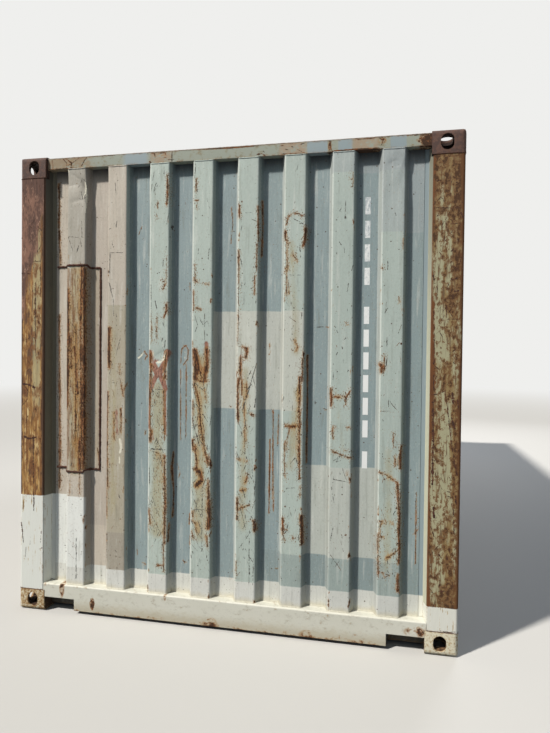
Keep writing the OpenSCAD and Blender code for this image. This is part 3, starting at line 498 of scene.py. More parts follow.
recess_rust = strokes(
    (9, 0.6, -775, 1155, -772, 1135), (12, 0.8, -765, 943, -755, 900, -750, 864),
    (8, 0.75, -518, 2143, -498, 2192), (14, 0.9, -480, 1495, -460, 1470, -475, 1450),
    (9, 0.5, -510, 1300, -506, 1296), (9, 0.8, -465, 1056, -468, 1030), (6, 0.7, -515, 380, -512, 345),
    (8, 0.8, -475, 303, -462, 298), (7, 0.6, -243, 2312, -240, 2286), (7, 0.6, -212, 1877, -210, 1830),
    (7, 0.8, -262, 1430, -258, 1510, -235, 1530, -218, 1505, -225, 1450, -250, 1420),
    (7, 0.7, -262, 1400, -262, 1180, -260, 1003), (7, 0.7, -232, 1430, -230, 1200, -232, 1003),
    (8, 0.8, -300, 943, -306, 860, -298, 720, -302, 577), (6, 0.6, -278, 873, -262, 830, -268, 795),
    (7, 0.75, -312, 551, -316, 447), (9, 0.7, -203, 603, -205, 543), (6, 0.6, -200, 482, -200, 430),
    (12, 0.85, -240, 338, -225, 330), (7, 0.65, 22, 2275, 28, 2180, 20, 2075),
    (10, 0.6, 18, 1205, 30, 1198), (7, 0.72, 193, 2299, 196, 2150, 192, 2003),
    (12, 0.65, 238, 1540, 243, 1500, 236, 1480), (9, 0.6, 240, 1462, 244, 1428),
    (8, 0.6, 250, 1182, 268, 1175), (7, 0.9, 247, 1034, 246, 850, 243, 634),
    (7, 0.9, 262, 1190, 264, 900, 268, 647), (7, 0.8, 292, 1169, 290, 1003), (8, 0.8, 282, 338, 296, 338),
    (8, 0.85, 444, 1480, 446, 1360, 446, 1150, 445, 917), (12, 0.7, 538, 1632, 552, 1628),
    (12, 0.7, 530, 1205, 548, 1198), (6, 0.8, 1008, 795, 1009, 600, 1010, 430),
    (5, 0.8, 1024, 610, 995, 573),
)
# where the top coat is gone to the red primer or to old cream paint, and where it is stained tan
wall_primer = strokes(
    (40, 0.5, -625, 1160, -615, 1040),
    (30, 1.0, -426, 1485, -414, 1430, -385, 1385, -360, 1385, -338, 1430, -328, 1490),
    (26, 0.8, -372, 1385, -400, 1330, -420, 1290), (26, 0.8, -372, 1385, -350, 1330, -332, 1290),
    (18, 0.65, -423, 1340, -425, 1070), (18, 0.65, -335, 1330, -332, 1040),
    (22, 0.6, -414, 1065, -400, 1010), (30, 0.8, -165, 1500, -150, 1420, -120, 1390),
    (26, 0.6, -102, 1540, -95, 1480), (20, 0.5, -176, 1500, -178, 1420), (18, 0.5, 95, 1480, 100, 1290),
    (8, 0.8, 163, 999, 172, 998),
)
wall_bare = strokes(
    (5, 0.7, -822, 2420, -818, 2360, -822, 2270), (12, 0.8, -600, 1003, -592, 960, -598, 930),
    (8, 0.7, -602, 905, -600, 868), (7, 0.9, -412, 1500, -402, 1455, -372, 1431, -345, 1450, -334, 1490),
    (5, 0.8, -526, 1452, -505, 1462, -484, 1490), (6, 0.6, -240, 1440, -240, 1500),
    (6, 0.9, -934, 2515, -922, 2508, -932, 2480, -920, 2462),
    (5, 0.8, -832, 2458, -824, 2430, -826, 2390, -832, 2362),
)
wall_tan = strokes(
    (70, 0.9, -880, 1950, -880, 820), (70, 0.9, -375, 1300, -375, 500), (70, 0.9, -130, 1450, -130, 500),
    (50, 0.7, 120, 1400, 110, 560), (60, 0.6, 360, 2060, 390, 1500), (60, 0.7, 400, 1300, 370, 900),
    (50, 0.4, 600, 1300, 640, 1000), (60, 0.6, 870, 1000, 870, 400), (50, 0.6, -640, 1600, -640, 600),
)
# dark scratches and scuffs, that aren't rusty
wall_scratches = strokes(
    (5, 0.9, -875, 2045, -859, 2085), (5, 0.8, -931, 2065, -931, 2030),
    (6, 0.9, -937, 2522, -920, 2519, -904, 2517), (5, 0.9, -939, 2476, -919, 2486, -903, 2480, -888, 2472),
    (5, 0.8, -933, 2446, -911, 2436, -905, 2428), (5, 0.7, -890, 2454, -872, 2448),
    (6, 0.9, -836, 2458, -818, 2440, -820, 2400, -828, 2362, -824, 2330), (5, 0.6, -860, 2352, -842, 2340),
    (4, 0.5, -930, 2140, -860, 2130), (5, 0.7, -866, 430, -867, 300, -866, 180),
    (8, 0.5, -897, 620, -890, 612), (6, 0.8, -672, 2170, -662, 2176), (4, 0.7, -656, 2115, -652, 2080),
    (4, 0.8, -668, 2040, -590, 2040), (4, 0.8, -667, 2040, -668, 1925), (8, 0.9, -674, 1938, -666, 1932),
    (4, 0.7, -662, 1838, -646, 1780, -643, 1690), (8, 0.8, -598, 1723, -592, 1721),
    (4, 0.6, -628, 1700, -626, 1620), (4, 0.6, -656, 1317, -630, 1317), (5, 0.6, -675, 470, -677, 330),
    (5, 0.5, -602, 340, -585, 345), (8, 0.9, -418, 958, -330, 956), (6, 0.8, -388, 1286, -352, 1286),
    (5, 0.6, -422, 1865, -421, 1725), (5, 0.8, -379, 1925, -368, 1922), (4, 0.6, -415, 720, -370, 600),
    (4, 0.6, -415, 600, -360, 510, -330, 430), (4, 0.5, -405, 735, -350, 700),
    (4, 0.5, -420, 690, -372, 600), (4, 0.6, -390, 440, -365, 500), (5, 0.8, -424, 860, -422, 760),
    (4, 0.5, -400, 930, -395, 800), (4, 0.5, -412, 905, -372, 900), (5, 0.7, -88, 2050, -92, 1990),
    (4, 0.7, -165, 1690, -150, 1640, -165, 1600), (4, 0.6, -140, 1680, -120, 1640, -95, 1660, -85, 1630),
    (4, 0.6, -110, 1700, -110, 1560), (4, 0.7, -168, 638, -100, 640, -85, 636),
    (5, 0.7, -117, 750, -115, 600, -116, 438), (7, 0.8, -166, 412, -166, 395),
    (8, 0.8, -141, 338, -135, 332), (5, 0.7, -172, 1028, -120, 1050), (8, 0.9, 80, 2038, 86, 2036),
    (7, 0.8, 163, 2038, 168, 2036), (4, 0.4, 98, 2230, 146, 2230), (5, 0.7, 94, 1865, 96, 1800),
    (4, 0.5, 133, 1750, 150, 1722), (8, 0.9, 78, 508, 83, 507), (4, 0.7, 150, 547, 148, 400, 149, 255),
    (4, 0.6, 172, 400, 170, 255), (4, 0.5, 160, 960, 162, 850, 175, 760), (4, 0.5, 350, 1898, 425, 1896),
    (7, 0.8, 330, 1720, 337, 1720), (7, 0.8, 372, 1713, 378, 1712), (7, 0.8, 418, 1722, 426, 1724),
    (5, 0.6, 366, 2190, 420, 2160), (5, 0.8, 366, 912, 392, 948, 405, 915),
    (4, 0.5, 332, 760, 350, 785, 392, 788), (8, 0.8, 580, 1990, 584, 1989), (8, 0.8, 580, 1961, 584, 1960),
    (4, 0.6, 590, 940, 625, 965, 605, 935, 630, 945), (4, 0.6, 590, 845, 675, 834),
    (4, 0.5, 596, 875, 584, 790, 600, 710), (5, 0.5, 851, 1960, 852, 1915), (6, 0.7, 914, 1700, 912, 1693),
    (4, 0.8, 865, 1262, 865, 1225), (6, 0.7, 838, 990, 838, 970), (6, 0.8, 916, 540, 928, 545),
    (5, 0.6, -790, 1020, -770, 1035), (6, 0.7, -492, 1208, -491, 1200), (7, 0.7, -555, 1064, -553, 1021),
    (7, 0.8, -310, 2190, -308, 2160), (7, 0.7, -235, 2225, -233, 2221), (6, 0.7, 240, 2179, 241, 2172),
    (5, 0.8, 490, 1630, 535, 1630), (5, 0.6, 487, 1280, 486, 1222),
)
knocks = [(w * 0.8, s, line) for w, s, line in ridge_rust]
knocks += [(w * 0.4, s, line) for w, s, line in recess_rust]
set_marks(front_wall, "rust", knocks, 5.5)
set_marks(front_wall, "chips", [(w * 0.5, s, line) for w, s, line in ridge_rust], 30)
set_marks(front_wall, "primer", wall_primer)
set_marks(front_wall, "bare", wall_bare, 3)
set_marks(front_wall, "tan", wall_tan)


def wall_depth(x, z):
    """How far the face of the front wall is set back at a place, dents and all."""
    return np.interp(x, front_line[:, 0], front_line[:, 1]) + front_dents(x, z)


def ribbons(name, marks, seed, depth=wall_depth, proud=0.35):
    """Thin ragged strips over the paint that follow the marks, broken where a mark is weak."""
    draw = np.random.default_rng(seed)
    points, faces = [], []
    for width, strength, line in marks:
        line = np.array(line, float)
        steps = [a + (b - a) * t for a, b in zip(line, line[1:])
                 for t in np.arange(0, 1, 6 / max(np.linalg.norm(b - a), 6))]
        route = np.array(steps + [line[-1]])
        route += draw.normal(0, 0.7, route.shape)
        ahead = np.gradient(route, axis=0)
        side = np.stack((-ahead[:, 1], ahead[:, 0]), 1)
        side /= np.linalg.norm(side, axis=1)[:, None] + 1e-9
        half = width / 2 * draw.uniform(0.1, 1.1, len(route)) * (0.35 + strength / 2)
        half[[0, -1]] *= 0.4
        first = len(points)
        for offset in (-1, 1):
            edge = route + side * (half * offset)[:, None]
            deep = depth(edge[:, 0], edge[:, 1]) - proud
            points += np.stack((edge[:, 0], -HALF_L + deep, edge[:, 1]), 1).tolist()
        n = len(route)
        kept = np.convolve(draw.random(n + 1), (1 / 3,) * 3, "valid") < 0.2 + 0.7 * strength
        faces += [[first + k, first + k + 1, first + n + k + 1, first + n + k]
                  for k in range(n - 1) if kept[k]]
    return new_piece(name, new_mesh(name, points, faces))


# Faded alkyd enamel on steel: chalky and matt, blue-grey in the recesses, greener where it was rolled
# over the ridges, warm grey at the left and white at the foot. Rust breaks through in orange and brown.
# Light and shade are painted into it too: a painted highlight on the slopes that face the sun, painted
# shade on the slopes and in the recess corners, and a painted shadow under the header.
wall = Finish("faded_wall_enamel")
patchy = wall.cloud(220, 3, detail=5, seed=1)
runs = wall.cloud(13, 26, detail=5, seed=2)
fine = wall.cloud(6, 2, 0.7, seed=3)
flow = wall.cloud(7, 7, 0.7, seed=5)
broad = wall.cloud(60, 2, 0.65, seed=4)
half_pitch = RIDGE_PITCH / 2 * MM
off_ridge = wall.math("ADD", wall.across, -half_pitch)
off_ridge = wall.math("WRAP", off_ridge, -half_pitch, half_pitch)
from_ridge = wall.math("ABSOLUTE", off_ridge)
top = {
    "colour": wall.shade("#7f9094", "#95a3a2", patchy),
    "rough": 0.62,
    "rise": wall.math("MULTIPLY", fine, 0.15),
}
ridge_face = (RIDGE_W / 2 + SLOPE_W / 2) * MM
on_ridge = wall.where(wall.nudged(from_ridge, fine, 0.008), ridge_face + 0.002, ridge_face - 0.002)
green = wall.shade("#a9b6ae", "#bac5bb", patchy)
top = wall.coat(top, green, 0.55, 0.15, on_ridge)
# painted highlight: the slopes on the left of each ridge, which face the sun, are painted lighter
sunward_slope_highlight = wall.where(off_ridge, -0.049, -0.054, wall.where(off_ridge, -0.078, -0.073))
top = wall.coat(top, wall.shade(top["colour"], "#e2e6dd", 0.6), 0.55, 0.15, sunward_slope_highlight)
at_left = wall.where(wall.nudged(wall.across, fine, 0.006), -0.568, -0.572)
taupe = wall.shade("#b4aa9b", "#cac1b2", patchy)
top = wall.coat(top, taupe, 0.6, 0.2, at_left)


def box_mask(finish, x0, x1, z0, z1, edge, rag):
    """Mask of an upright rectangle whose edges are as soft and uneven as a rolled coat."""
    x = finish.nudged(finish.across, rag, edge * MM)
    z = finish.nudged(finish.height, rag, edge * MM)
    half = edge * MM / 4
    mask = finish.where(x, x0 * MM - half, x0 * MM + half)
    mask = finish.where(x, x1 * MM + half, x1 * MM - half, mask)
    mask = finish.where(z, z0 * MM - half, z0 * MM + half, mask)
    return finish.where(z, z1 * MM + half, z1 * MM - half, mask)


# coats rolled over old notices and repairs: a pale square, a beige one, and a darker strip below it
for x0, x1, z0, z1, tone, share in (
    (-65, 432, 1190, 1712, "#d2d0c3", 0.62),
    (432, 815, 437, 906, "#c1c4ba", 0.88),
    (205, 1060, 268, 437, "#84918f", 0.55),
    (560, 1060, 2415, 2530, "#9fa4a6", 0.5),
    (815, 1060, 2105, 2530, "#a3a9ab", 0.5),
    (-680, -570, 268, 480, "#8a8474", 0.6),
):
    mask = wall.math("MULTIPLY", box_mask(wall, x0, x1, z0, z1, 10, broad), share)
    top = wall.coat(top, tone, 0.58, 0.2, mask)
# the left of the wall in four greys of its own
for x0, x1, z0, z1, tone in (
    (-943, -817, 1960, 2530, "#9b998e"),
    (-817, -680, 500, 2530, "#b0a69a"),
    (-680, -570, 480, 1750, "#9f9880"),
    (-943, -747, 812, 1960, "#a3937a"),
):
    mask = wall.math("MULTIPLY", box_mask(wall, x0, x1, z0, z1, 12, broad), 0.6)
    top = wall.coat(top, tone, 0.6, 0.2, mask)
tanned = wall.where(wall.nudged(wall.mark("tan"), broad, 0.7), 0.25, 0.75)
top = wall.wash(top, "#a79d76", 0.6, 0.62, tanned)
# the white foot, higher at the left, and the rust that seeps from the repair
white = wall.shade("#cbccc3", "#dcdcd5", patchy)
whiter = wall.shade("#dddfd8", "#eaece6", patchy)
for x0, x1, z0, z1, tone in ((-1100, 1100, 0, 268, white), (-1100, -815, 260, 664, whiter)):
    top = wall.coat(top, tone, 0.5, 0.35, box_mask(wall, x0, x1, z0, z1, 9, broad))
for x0, x1, z0, z1, share in ((-905, -815, 815, 1960, 0.85), (-943, -817, 815, 1960, 0.6)):
    seeped = wall.nudged(wall.cloud(15, 9, detail=5, seed=x0), fine, 0.2)
    seeped = wall.where(seeped, 0.46, 0.6, box_mask(wall, x0, x1, z0, z1, 12, broad))
    seeped = wall.math("MULTIPLY", seeped, share)
    top = wall.coat(top, wall.shade("#8c6136", "#5b3b22", fine), 0.8, 0.1, seeped)

# years of rubbing and rain leave every coat finely mottled, with longer smears of chalk and of dirt
smears = wall.cloud(22, 11, detail=4, seed=6)
chalky = wall.where(smears, 0.55, 0.72)
top = wall.wash(top, "#e0e1d8", 0.3, 0.6, chalky)
muddy = wall.where(wall.nudged(smears, broad, 0.4), 0.44, 0.26)
top = wall.wash(top, "#6a6a58", 0.3, 0.66, muddy)
worn_dark = wall.where(fine, 0.52, 0.7)
top = wall.wash(top, "#5f6259", 0.22, 0.66, worn_dark)
worn_pale = wall.where(fine, 0.46, 0.3)
top = wall.wash(top, "#dfe2da", 0.22, 0.58, worn_pale)

# dirt runs down the faces and lies on the sill ledge, and the wall is a little darker towards the right.
# Painted shade darkens the slopes and the recess corners beside them, where dirt also gathers, and a
# painted shadow lies across the tops of the recesses under the header
grime = wall.where(runs, 0.48, 0.9)
top = wall.wash(top, "#57524a", 0.24, 0.7, grime)
# the wall is made a little darker towards the right
darker_to_right = wall.where(wall.nudged(wall.across, patchy, 0.4), -0.5, 1.0)
top = wall.wash(top, "#66787c", 0.16, 0.6, darker_to_right)
# painted shade on the slopes and in the corners of the recesses beside them, with the dirt that gathers
# there
corner = wall.where(wall.nudged(from_ridge, broad, 0.02), 0.092, 0.066)
corner = wall.where(from_ridge, 0.055, 0.060, corner)
top = wall.wash(top, "#33393a", 0.3, 0.75, corner)
# painted shadow: the tops of the recesses under the header are painted near black
header_shadow = wall.where(wall.nudged(wall.height, broad, 0.03), 2.42, 2.53, wall.where(from_ridge, 0.06, 0.08))
top = wall.wash(top, "#0b1117", 0.9, 0.75, header_shadow)
ledge = wall.where(wall.nudged(wall.height, broad, 0.05), 0.195, 0.163)
top = wall.wash(top, "#b9a878", 0.3, 0.8, ledge)

# what shows where the coats are gone: red primer, old cream paint, and rust
primed = wall.where(wall.nudged(wall.mark("primer"), broad, 0.7), 0.3, 0.5)
red = wall.shade("#a57b69", "#7a4f40", wall.where(fine, 0.4, 0.6))
top = wall.coat(top, red, 0.8, -0.1, primed)
bare = wall.where(wall.nudged(wall.mark("bare"), fine, 1.1), 0.38, 0.5)
top = wall.coat(top, "#dcd8c4", 0.6, -0.15, bare)


def rusted(finish, under, rust, grit):
    """Lays rust where a mask is high: an ochre stain around it, orange at its rim, dark scale inside."""
    top = finish.wash(under, "#a07840", 0.55, 0.75, finish.where(rust, 0.24, 0.5))
    core = finish.where(finish.nudged(rust, grit, 1.3), 0.5, 0.85)
    rim = finish.shade("#a2673a", "#6e4427", finish.where(grit, 0.38, 0.58))
    scale = finish.shade(rim, "#382210", core)
    rise = finish.math("MULTIPLY", grit, 0.9)
    return finish.coat(top, scale, 0.92, rise, finish.where(rust, 0.53, 0.68))


def scattered(finish, size, chosen, *within):
    """Distance from points scattered about size mm apart, and a mask that picks some of them at random."""
    gap = finish.add("TexVoronoi", {0: finish.place, "Scale": 1 / (size * MM)})
    lot = finish.add("SeparateColor", {0: gap.node.outputs["Color"]})
    return gap, finish.where(lot, chosen, chosen + 0.02, *within)


# dark specks, rusty dots on the ridges and pits in the paint
gap, chosen = scattered(wall, 38, 0.5)
specks = wall.where(wall.nudged(gap, fine, 0.1), 0.11, 0.06, chosen)
top = wall.coat(top, "#4a3a2c", 0.85, -0.2, specks)
gap, chosen = scattered(wall, 95, 0.55, on_ridge)
dots = wall.where(wall.nudged(gap, fine, 0.14), 0.075, 0.03, chosen)
top = rusted(wall, top, dots, flow)
gap, chosen = scattered(wall, 15, 0.8)
pits = wall.where(gap, 0.16, 0.1, chosen)
top = wall.coat(top, "#6b6a5c", 0.8, -0.2, pits)

# rust along the marks and along the knocked bends of the ridges, what has bled from it, and chips near it
knocked = wall.where(from_ridge, 0.066, 0.056, wall.where(from_ridge, 0.040, 0.050))
knocked = wall.math("MULTIPLY", knocked, wall.where(broad, 0.56, 0.72))
knocked = wall.where(wall.height, 2.35, 2.1, knocked)
rust = wall.math("MAXIMUM", wall.mark("rust"), knocked)
rust = wall.nudged(wall.nudged(rust, fine, 1.3), broad, 1.2)
tan = wall.math("MULTIPLY", wall.mark("tan"), 0.45)
bled = wall.math("MULTIPLY_ADD", wall.mark("chips"), 0.6, tan)
bled = wall.where(wall.nudged(wall.nudged(bled, flow, 0.9), broad, 0.6), 0.43, 0.72)
top = wall.wash(top, "#ab8448", 0.75, 0.7, wall.math("MULTIPLY", bled, 0.72))
near = wall.math("MAXIMUM", wall.mark("chips"), tan)
chipped = wall.math("MULTIPLY_ADD", near, 0.22, wall.cloud(5, 1.6, detail=3, seed=16))
chipped = wall.math("MULTIPLY_ADD", chipped, 6, -3.72)
rust = wall.math("MAXIMUM", rust, chipped)
top = rusted(wall, top, rust, flow)
wall_look = wall.done(top)
finished(front_wall, wall_look)

# crisp cores of the scratches, where a corner of steel has cut the paint to the metal
scale = Finish("brown_rust_scale")
grit = scale.cloud(5, 1, 0.7, seed=9)
tint = scale.cloud(45, detail=4, seed=8)
tone = scale.shade("#7a4d2b", "#332110", scale.where(tint, 0.4, 0.55))
scale_look = scale.done({"colour": tone, "rough": 0.92, "rise": grit})
soot = Finish("black_scuff")
grit = soot.cloud(6, detail=5, seed=10)
tone = soot.shade("#2b2a28", "#55524b", grit)
soot_look = soot.done({"colour": tone, "rough": 0.7, "rise": grit})
draw = np.random.default_rng(15)


def flecks(count, low, high, length, lean, ridges=range(RIDGES)):
    """Small random knocks on some of the ridges, most of them upright: marks like those listed above."""
    found = []
    for i in range(count):
        ridge = (draw.choice(ridges) - (RIDGES - 1) / 2) * RIDGE_PITCH
        x = ridge + draw.uniform(-1, 1) * RIDGE_W * 0.46
        z = draw.uniform(low, high)
        reach = draw.exponential(length) + 4
        end_x = np.clip(x + draw.normal(0, lean) * reach, ridge - RIDGE_W / 2, ridge + RIDGE_W / 2)
        found.append((draw.uniform(2.5, 6), draw.uniform(0.5, 0.9), [(x, z), (end_x, z + reach)]))
    return found


def barbed(marks):
    """The same marks with short side strokes, where the paint has split away from a scratch."""
    found = list(marks)
    for width, strength, line in marks:
        for a, b in zip(line, line[1:]):
            a, b = np.array(a), np.array(b)
            for i in range(draw.poisson(np.linalg.norm(b - a) / 80)):
                start = a + (b - a) * draw.random() + draw.normal(0, width / 3, 2)
                angle = draw.uniform(-1.2, 1.2) + math.pi * draw.integers(2)
                end = start + (draw.exponential(7) + 3) * np.array((math.sin(angle), math.cos(angle)))
                found.append((min(width, 5), strength, [start, end]))
    return found


rust_lines = barbed(ridge_rust) + recess_rust + flecks(230, 290, 1700, 16, 0.5)
rust_lines += flecks(70, 830, 1900, 60, 0.1, (0,)) + flecks(150, 330, 1450, 24, 0.6, (2, 3))
scuffs = wall_scratches + flecks(200, 290, 2450, 24, 0.3) + flecks(90, 330, 1300, 40, 0.5, (2, 3, 4))
for name, marks, look, seed, share, widest in (
    ("front_wall_rust_lines", rust_lines, scale_look, 11, 0.8, 9),
    ("front_wall_scuffs", scuffs, soot_look, 12, 1.5, 7),
):
    narrow = [(min(w, widest) * share, s, line) for w, s, line in marks]
    strips = ribbons(name, narrow, seed)
    finished(strips, look)


def bead(name, routes, radius, seed, sides=6, step=7):
    """Runs of weld along routes of points: rounded cords of metal with the ripples of their passes."""
    draw = np.random.default_rng(seed)
    points, faces = [], []
    for route in routes:
        route = np.array(route, float)
        lengths = np.append(0, np.cumsum(np.linalg.norm(np.diff(route, axis=0), axis=1)))
        along = np.linspace(0, lengths[-1], max(2, int(lengths[-1] / step)))
        line = np.stack([np.interp(along, lengths, route[:, i]) for i in range(3)], 1)
        ahead = np.gradient(line, axis=0)
        ahead /= np.linalg.norm(ahead, axis=1)[:, None]
        across = np.cross(ahead, (0.31, 0.9, 0.3))
        across /= np.linalg.norm(across, axis=1)[:, None]
        third = np.cross(ahead, across)
        size = radius * draw.uniform(0.75, 1.15, len(line))
        first, n = sum(len(p) for p in points), len(line)
        points += [line + size[:, None] * (math.cos(a) * across + math.sin(a) * third)
                   for a in np.arange(sides) * math.tau / sides]
        ring = [first + s * n for s in range(sides)]
        faces += [[a + k, a + k + 1, b + k + 1, b + k]
                  for a, b in zip(ring, ring[1:] + ring[:1]) for k in range(n - 1)]
        faces += [ring, [a + n - 1 for a in reversed(ring)]]
    return new_piece(name, new_mesh(name, np.concatenate(points), faces), sharp=80)


def over_wall(x, z):
    """A point on the face of the front wall."""
    return (x, -HALF_L + float(wall_depth(x, z)), z)


# welded repair: a length of new sheet let in between the first two ridges. Its seams wander a little, as
# they were welded by hand, and are left to rust
PATCH_LEFT, PATCH_RIGHT, PATCH_TOP, PATCH_BOTTOM = -1018, -747, 1968, 812
seam = [over_wall(x, PATCH_TOP + (6 if x < -930 else -4 if x > -810 else 8))
        for x in np.arange(PATCH_LEFT, PATCH_RIGHT, 6)]
side_seam = [over_wall(PATCH_RIGHT, z) for z in np.arange(PATCH_BOTTOM, PATCH_TOP, 12)]
low_seam = [over_wall(x, PATCH_BOTTOM + (8 if x < -935 else -6 if x < -820 else 6))
            for x in np.arange(PATCH_LEFT, PATCH_RIGHT, 6)]
dark_scale = Finish("damp_black_rust")
grit = dark_scale.cloud(7, 1, 0.7, seed=13)
tone = dark_scale.shade("#2b1a13", "#5b3421", dark_scale.where(grit, 0.4, 0.65))
dark_look = dark_scale.done({"colour": tone, "rough": 0.9, "rise": grit})
repair_seam = bead("repair_seam", (seam, side_seam, low_seam), 7, 21)
finished(repair_seam, dark_look)

# the sheet's own welds to sill and header, under the paint
for name, z in (("sill_weld", wall_low.z + 2), ("header_weld", wall_high.z - 2)):
    run = [over_wall(x, z) for x in np.arange(-front_half + 2, front_half, 8)]
    weld = bead(name, [run], 3, 22)
    finished(weld, wall_look)

# plain blocks of white stencil paint up the last recess, worn thin at the top
BLOCK_X, BLOCK_W, BLOCK_H = 747, 27, 88
block_heights = [2250 - 120 * k for k in range(4)] + [1690 - 117 * k for k in range(6)] + [945]
faded = Finish("worn_white_stencil_paint")
grit = faded.cloud(9, 2, 0.7, seed=14)
wear = faded.where(faded.nudged(faded.height, grit, 3.2), 1.7, 2.9)
tone = faded.shade("#e6e8e6", "#919ea5", wear)
faded_look = faded.done({"colour": tone, "rough": 0.55, "rise": grit})
BLOCK_COLS, BLOCK_ROWS, PAINT_T = 5, 9, 0.4
points, faces = [], []
for z in block_heights:
    for x in BLOCK_X + np.linspace(-BLOCK_W / 2, BLOCK_W / 2, BLOCK_COLS):
        points += [over_wall(x, z + h) for h in np.linspace(-BLOCK_H / 2, BLOCK_H / 2, BLOCK_ROWS)]
    grid = np.arange(len(points))[-BLOCK_COLS * BLOCK_ROWS:].reshape(BLOCK_COLS, BLOCK_ROWS)
    corners = (grid[:-1, :-1], grid[1:, :-1], grid[1:, 1:], grid[:-1, 1:])
    faces += np.stack(corners, -1).reshape(-1, 4).tolist()
white_blocks = new_piece("white_blocks", new_mesh("white_blocks", np.array(points) - (0, PAINT_T, 0), faces))
finished(white_blocks, faded_look)


# Corner posts, corner castings, header and sill
# Posts and header are bent from 6 mm plate and the castings are cast steel blocks, all welded in one
# frame. They take every knock, so their paint is mostly gone to rust above a fresh white foot.
def to_edit(node):
    """A copy of the CAD mesh of a node, its faces joined where they meet, for editing."""
    source = frame["nodes"][node]
    edit = bmesh.new()
    edit.from_mesh(source.data)
    edit.transform(source.matrix_world)
    bmesh.ops.remove_doubles(edit, verts=edit.verts, dist=1e-5)
    return edit


def dressed(node, bevel=0, shape=None):
    """A copy of a CAD mesh with its sharp edges rounded, or worn to a shape. It stands for the node."""
    edit = to_edit(node)
    bmesh.ops.dissolve_limit(edit, angle_limit=math.radians(1), verts=edit.verts, edges=edit.edges)
    if shape:
        shape(edit)
    if bevel:
        sharp = [e for e in edit.edges if len(e.link_faces) == 2 and e.calc_face_angle() > math.radians(25)]
        bmesh.ops.bevel(edit, geom=sharp, offset=bevel * MM, segments=3, affect="EDGES", clamp_overlap=True)
    mesh = bpy.data.meshes.new(node + "_worn")
    edit.to_mesh(mesh)
    edit.free()
    piece = new_piece(mesh.name, mesh, sharp=80)
    weighed = np.zeros((len(mesh.vertices), 3))
    for face in mesh.polygons:
        weighed[list(face.vertices)] += np.array(face.normal) * face.area
    weighed /= np.linalg.norm(weighed, axis=1)[:, None] + 1e-12
    mesh.normals_split_custom_set_from_vertices(weighed.tolist())
    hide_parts(node)
    return piece


def edges(finish, reach):
    """Mask of the sharp edges of the steel, where paint is thin and is knocked off first."""
    soft = finish.add("Bevel", {"Radius": reach * MM}, samples=4)
    flat = finish.add("NewGeometry", out="Normal")
    agree = finish.add("VectorMath", {0: soft, 1: flat}, out="Value", operation="DOT_PRODUCT")
    return finish.where(agree, 0.995, 0.8)


def blots(finish, rust, rag, *spots_):
    """Adds rust in ragged spots on an upright face: each at x and z, with its half sizes and amount."""
    for x, z, half_w, half_h, amount in spots_:
        place = finish.add("Mapping", {
            0: finish.place, "Location": (-x / half_w, 0, -z / half_h),
            "Scale": (1 / (half_w * MM), 0, 1 / (half_h * MM))})
        off = finish.add("VectorMath", {0: place}, out="Value", operation="LENGTH")
        spot = finish.where(finish.nudged(off, rag, 2.4), 1.0, 0.6)
        rust = finish.math("MULTIPLY_ADD", spot, amount, rust)
    return rust


def foot_and_return(coat, top, foot, flange_foot, grit, streak, whites, slant_tones, flange_tones):
    """Ends a post's coats: the white foot with its chips, and the return bent inward behind the face,
    darkened towards the top as painted shade.
    """
    side = coat.math("ABSOLUTE", coat.across)
    flank = coat.where(coat.nudged(coat.along, grit, 0.03), -3.012, -2.996, coat.where(side, 1.2142, 1.2155))
    faded = coat.shade("#8b8674", "#a09a86", streak)
    faded = coat.shade(faded, "#7b5530", coat.where(grit, 0.5, 0.6))
    faded = coat.shade(faded, "#46311f", coat.where(grit, 0.6, 0.68))
    top = coat.coat(top, faded, 0.78, top["rise"], flank)
    white = coat.shade(whites[0], whites[1], streak)
    low = coat.where(coat.nudged(coat.height, grit, 0.012), foot * MM + 0.002, foot * MM - 0.002)
    top = coat.coat(top, white, 0.5, 0.4, low)
    worn = coat.math("MULTIPLY_ADD", edges(coat, 14), 0.16, streak)
    worn = coat.nudged(worn, grit, 0.7)
    top = coat.coat(top, "#b39a6c", 0.75, 0.2, coat.where(worn, 0.62, 0.7, low))
    top = coat.coat(top, "#5f452c", 0.85, 0.1, coat.where(worn, 0.7, 0.76, low))
    above = coat.where(coat.height, foot * MM - 0.004, foot * MM + 0.004)
    slant = coat.where(side, POST_INNER * MM - 0.001, POST_INNER * MM - 0.004, above)
    tone = coat.shade(slant_tones[0], slant_tones[1], grit)
    # painted shade: the return is darkened towards the top
    painted_shade_high = coat.where(coat.nudged(coat.height, streak, 0.4), 1.2, 2.6)
    tone = coat.shade(tone, coat.shade(tone, "#2c2c2c", 0.6), painted_shade_high)
    top = coat.coat(top, tone, 0.65, 0.2, slant)
    flange = coat.where(side, POST_INNER * MM - 0.017, POST_INNER * MM - 0.019)
    above = coat.where(coat.height, flange_foot * MM - 0.004, flange_foot * MM + 0.004)
    tone = coat.shade(flange_tones[0], flange_tones[1], streak)
    top = coat.coat(top, coat.shade(white, tone, above), 0.65, 0.2, flange)
    return coat.done(top)


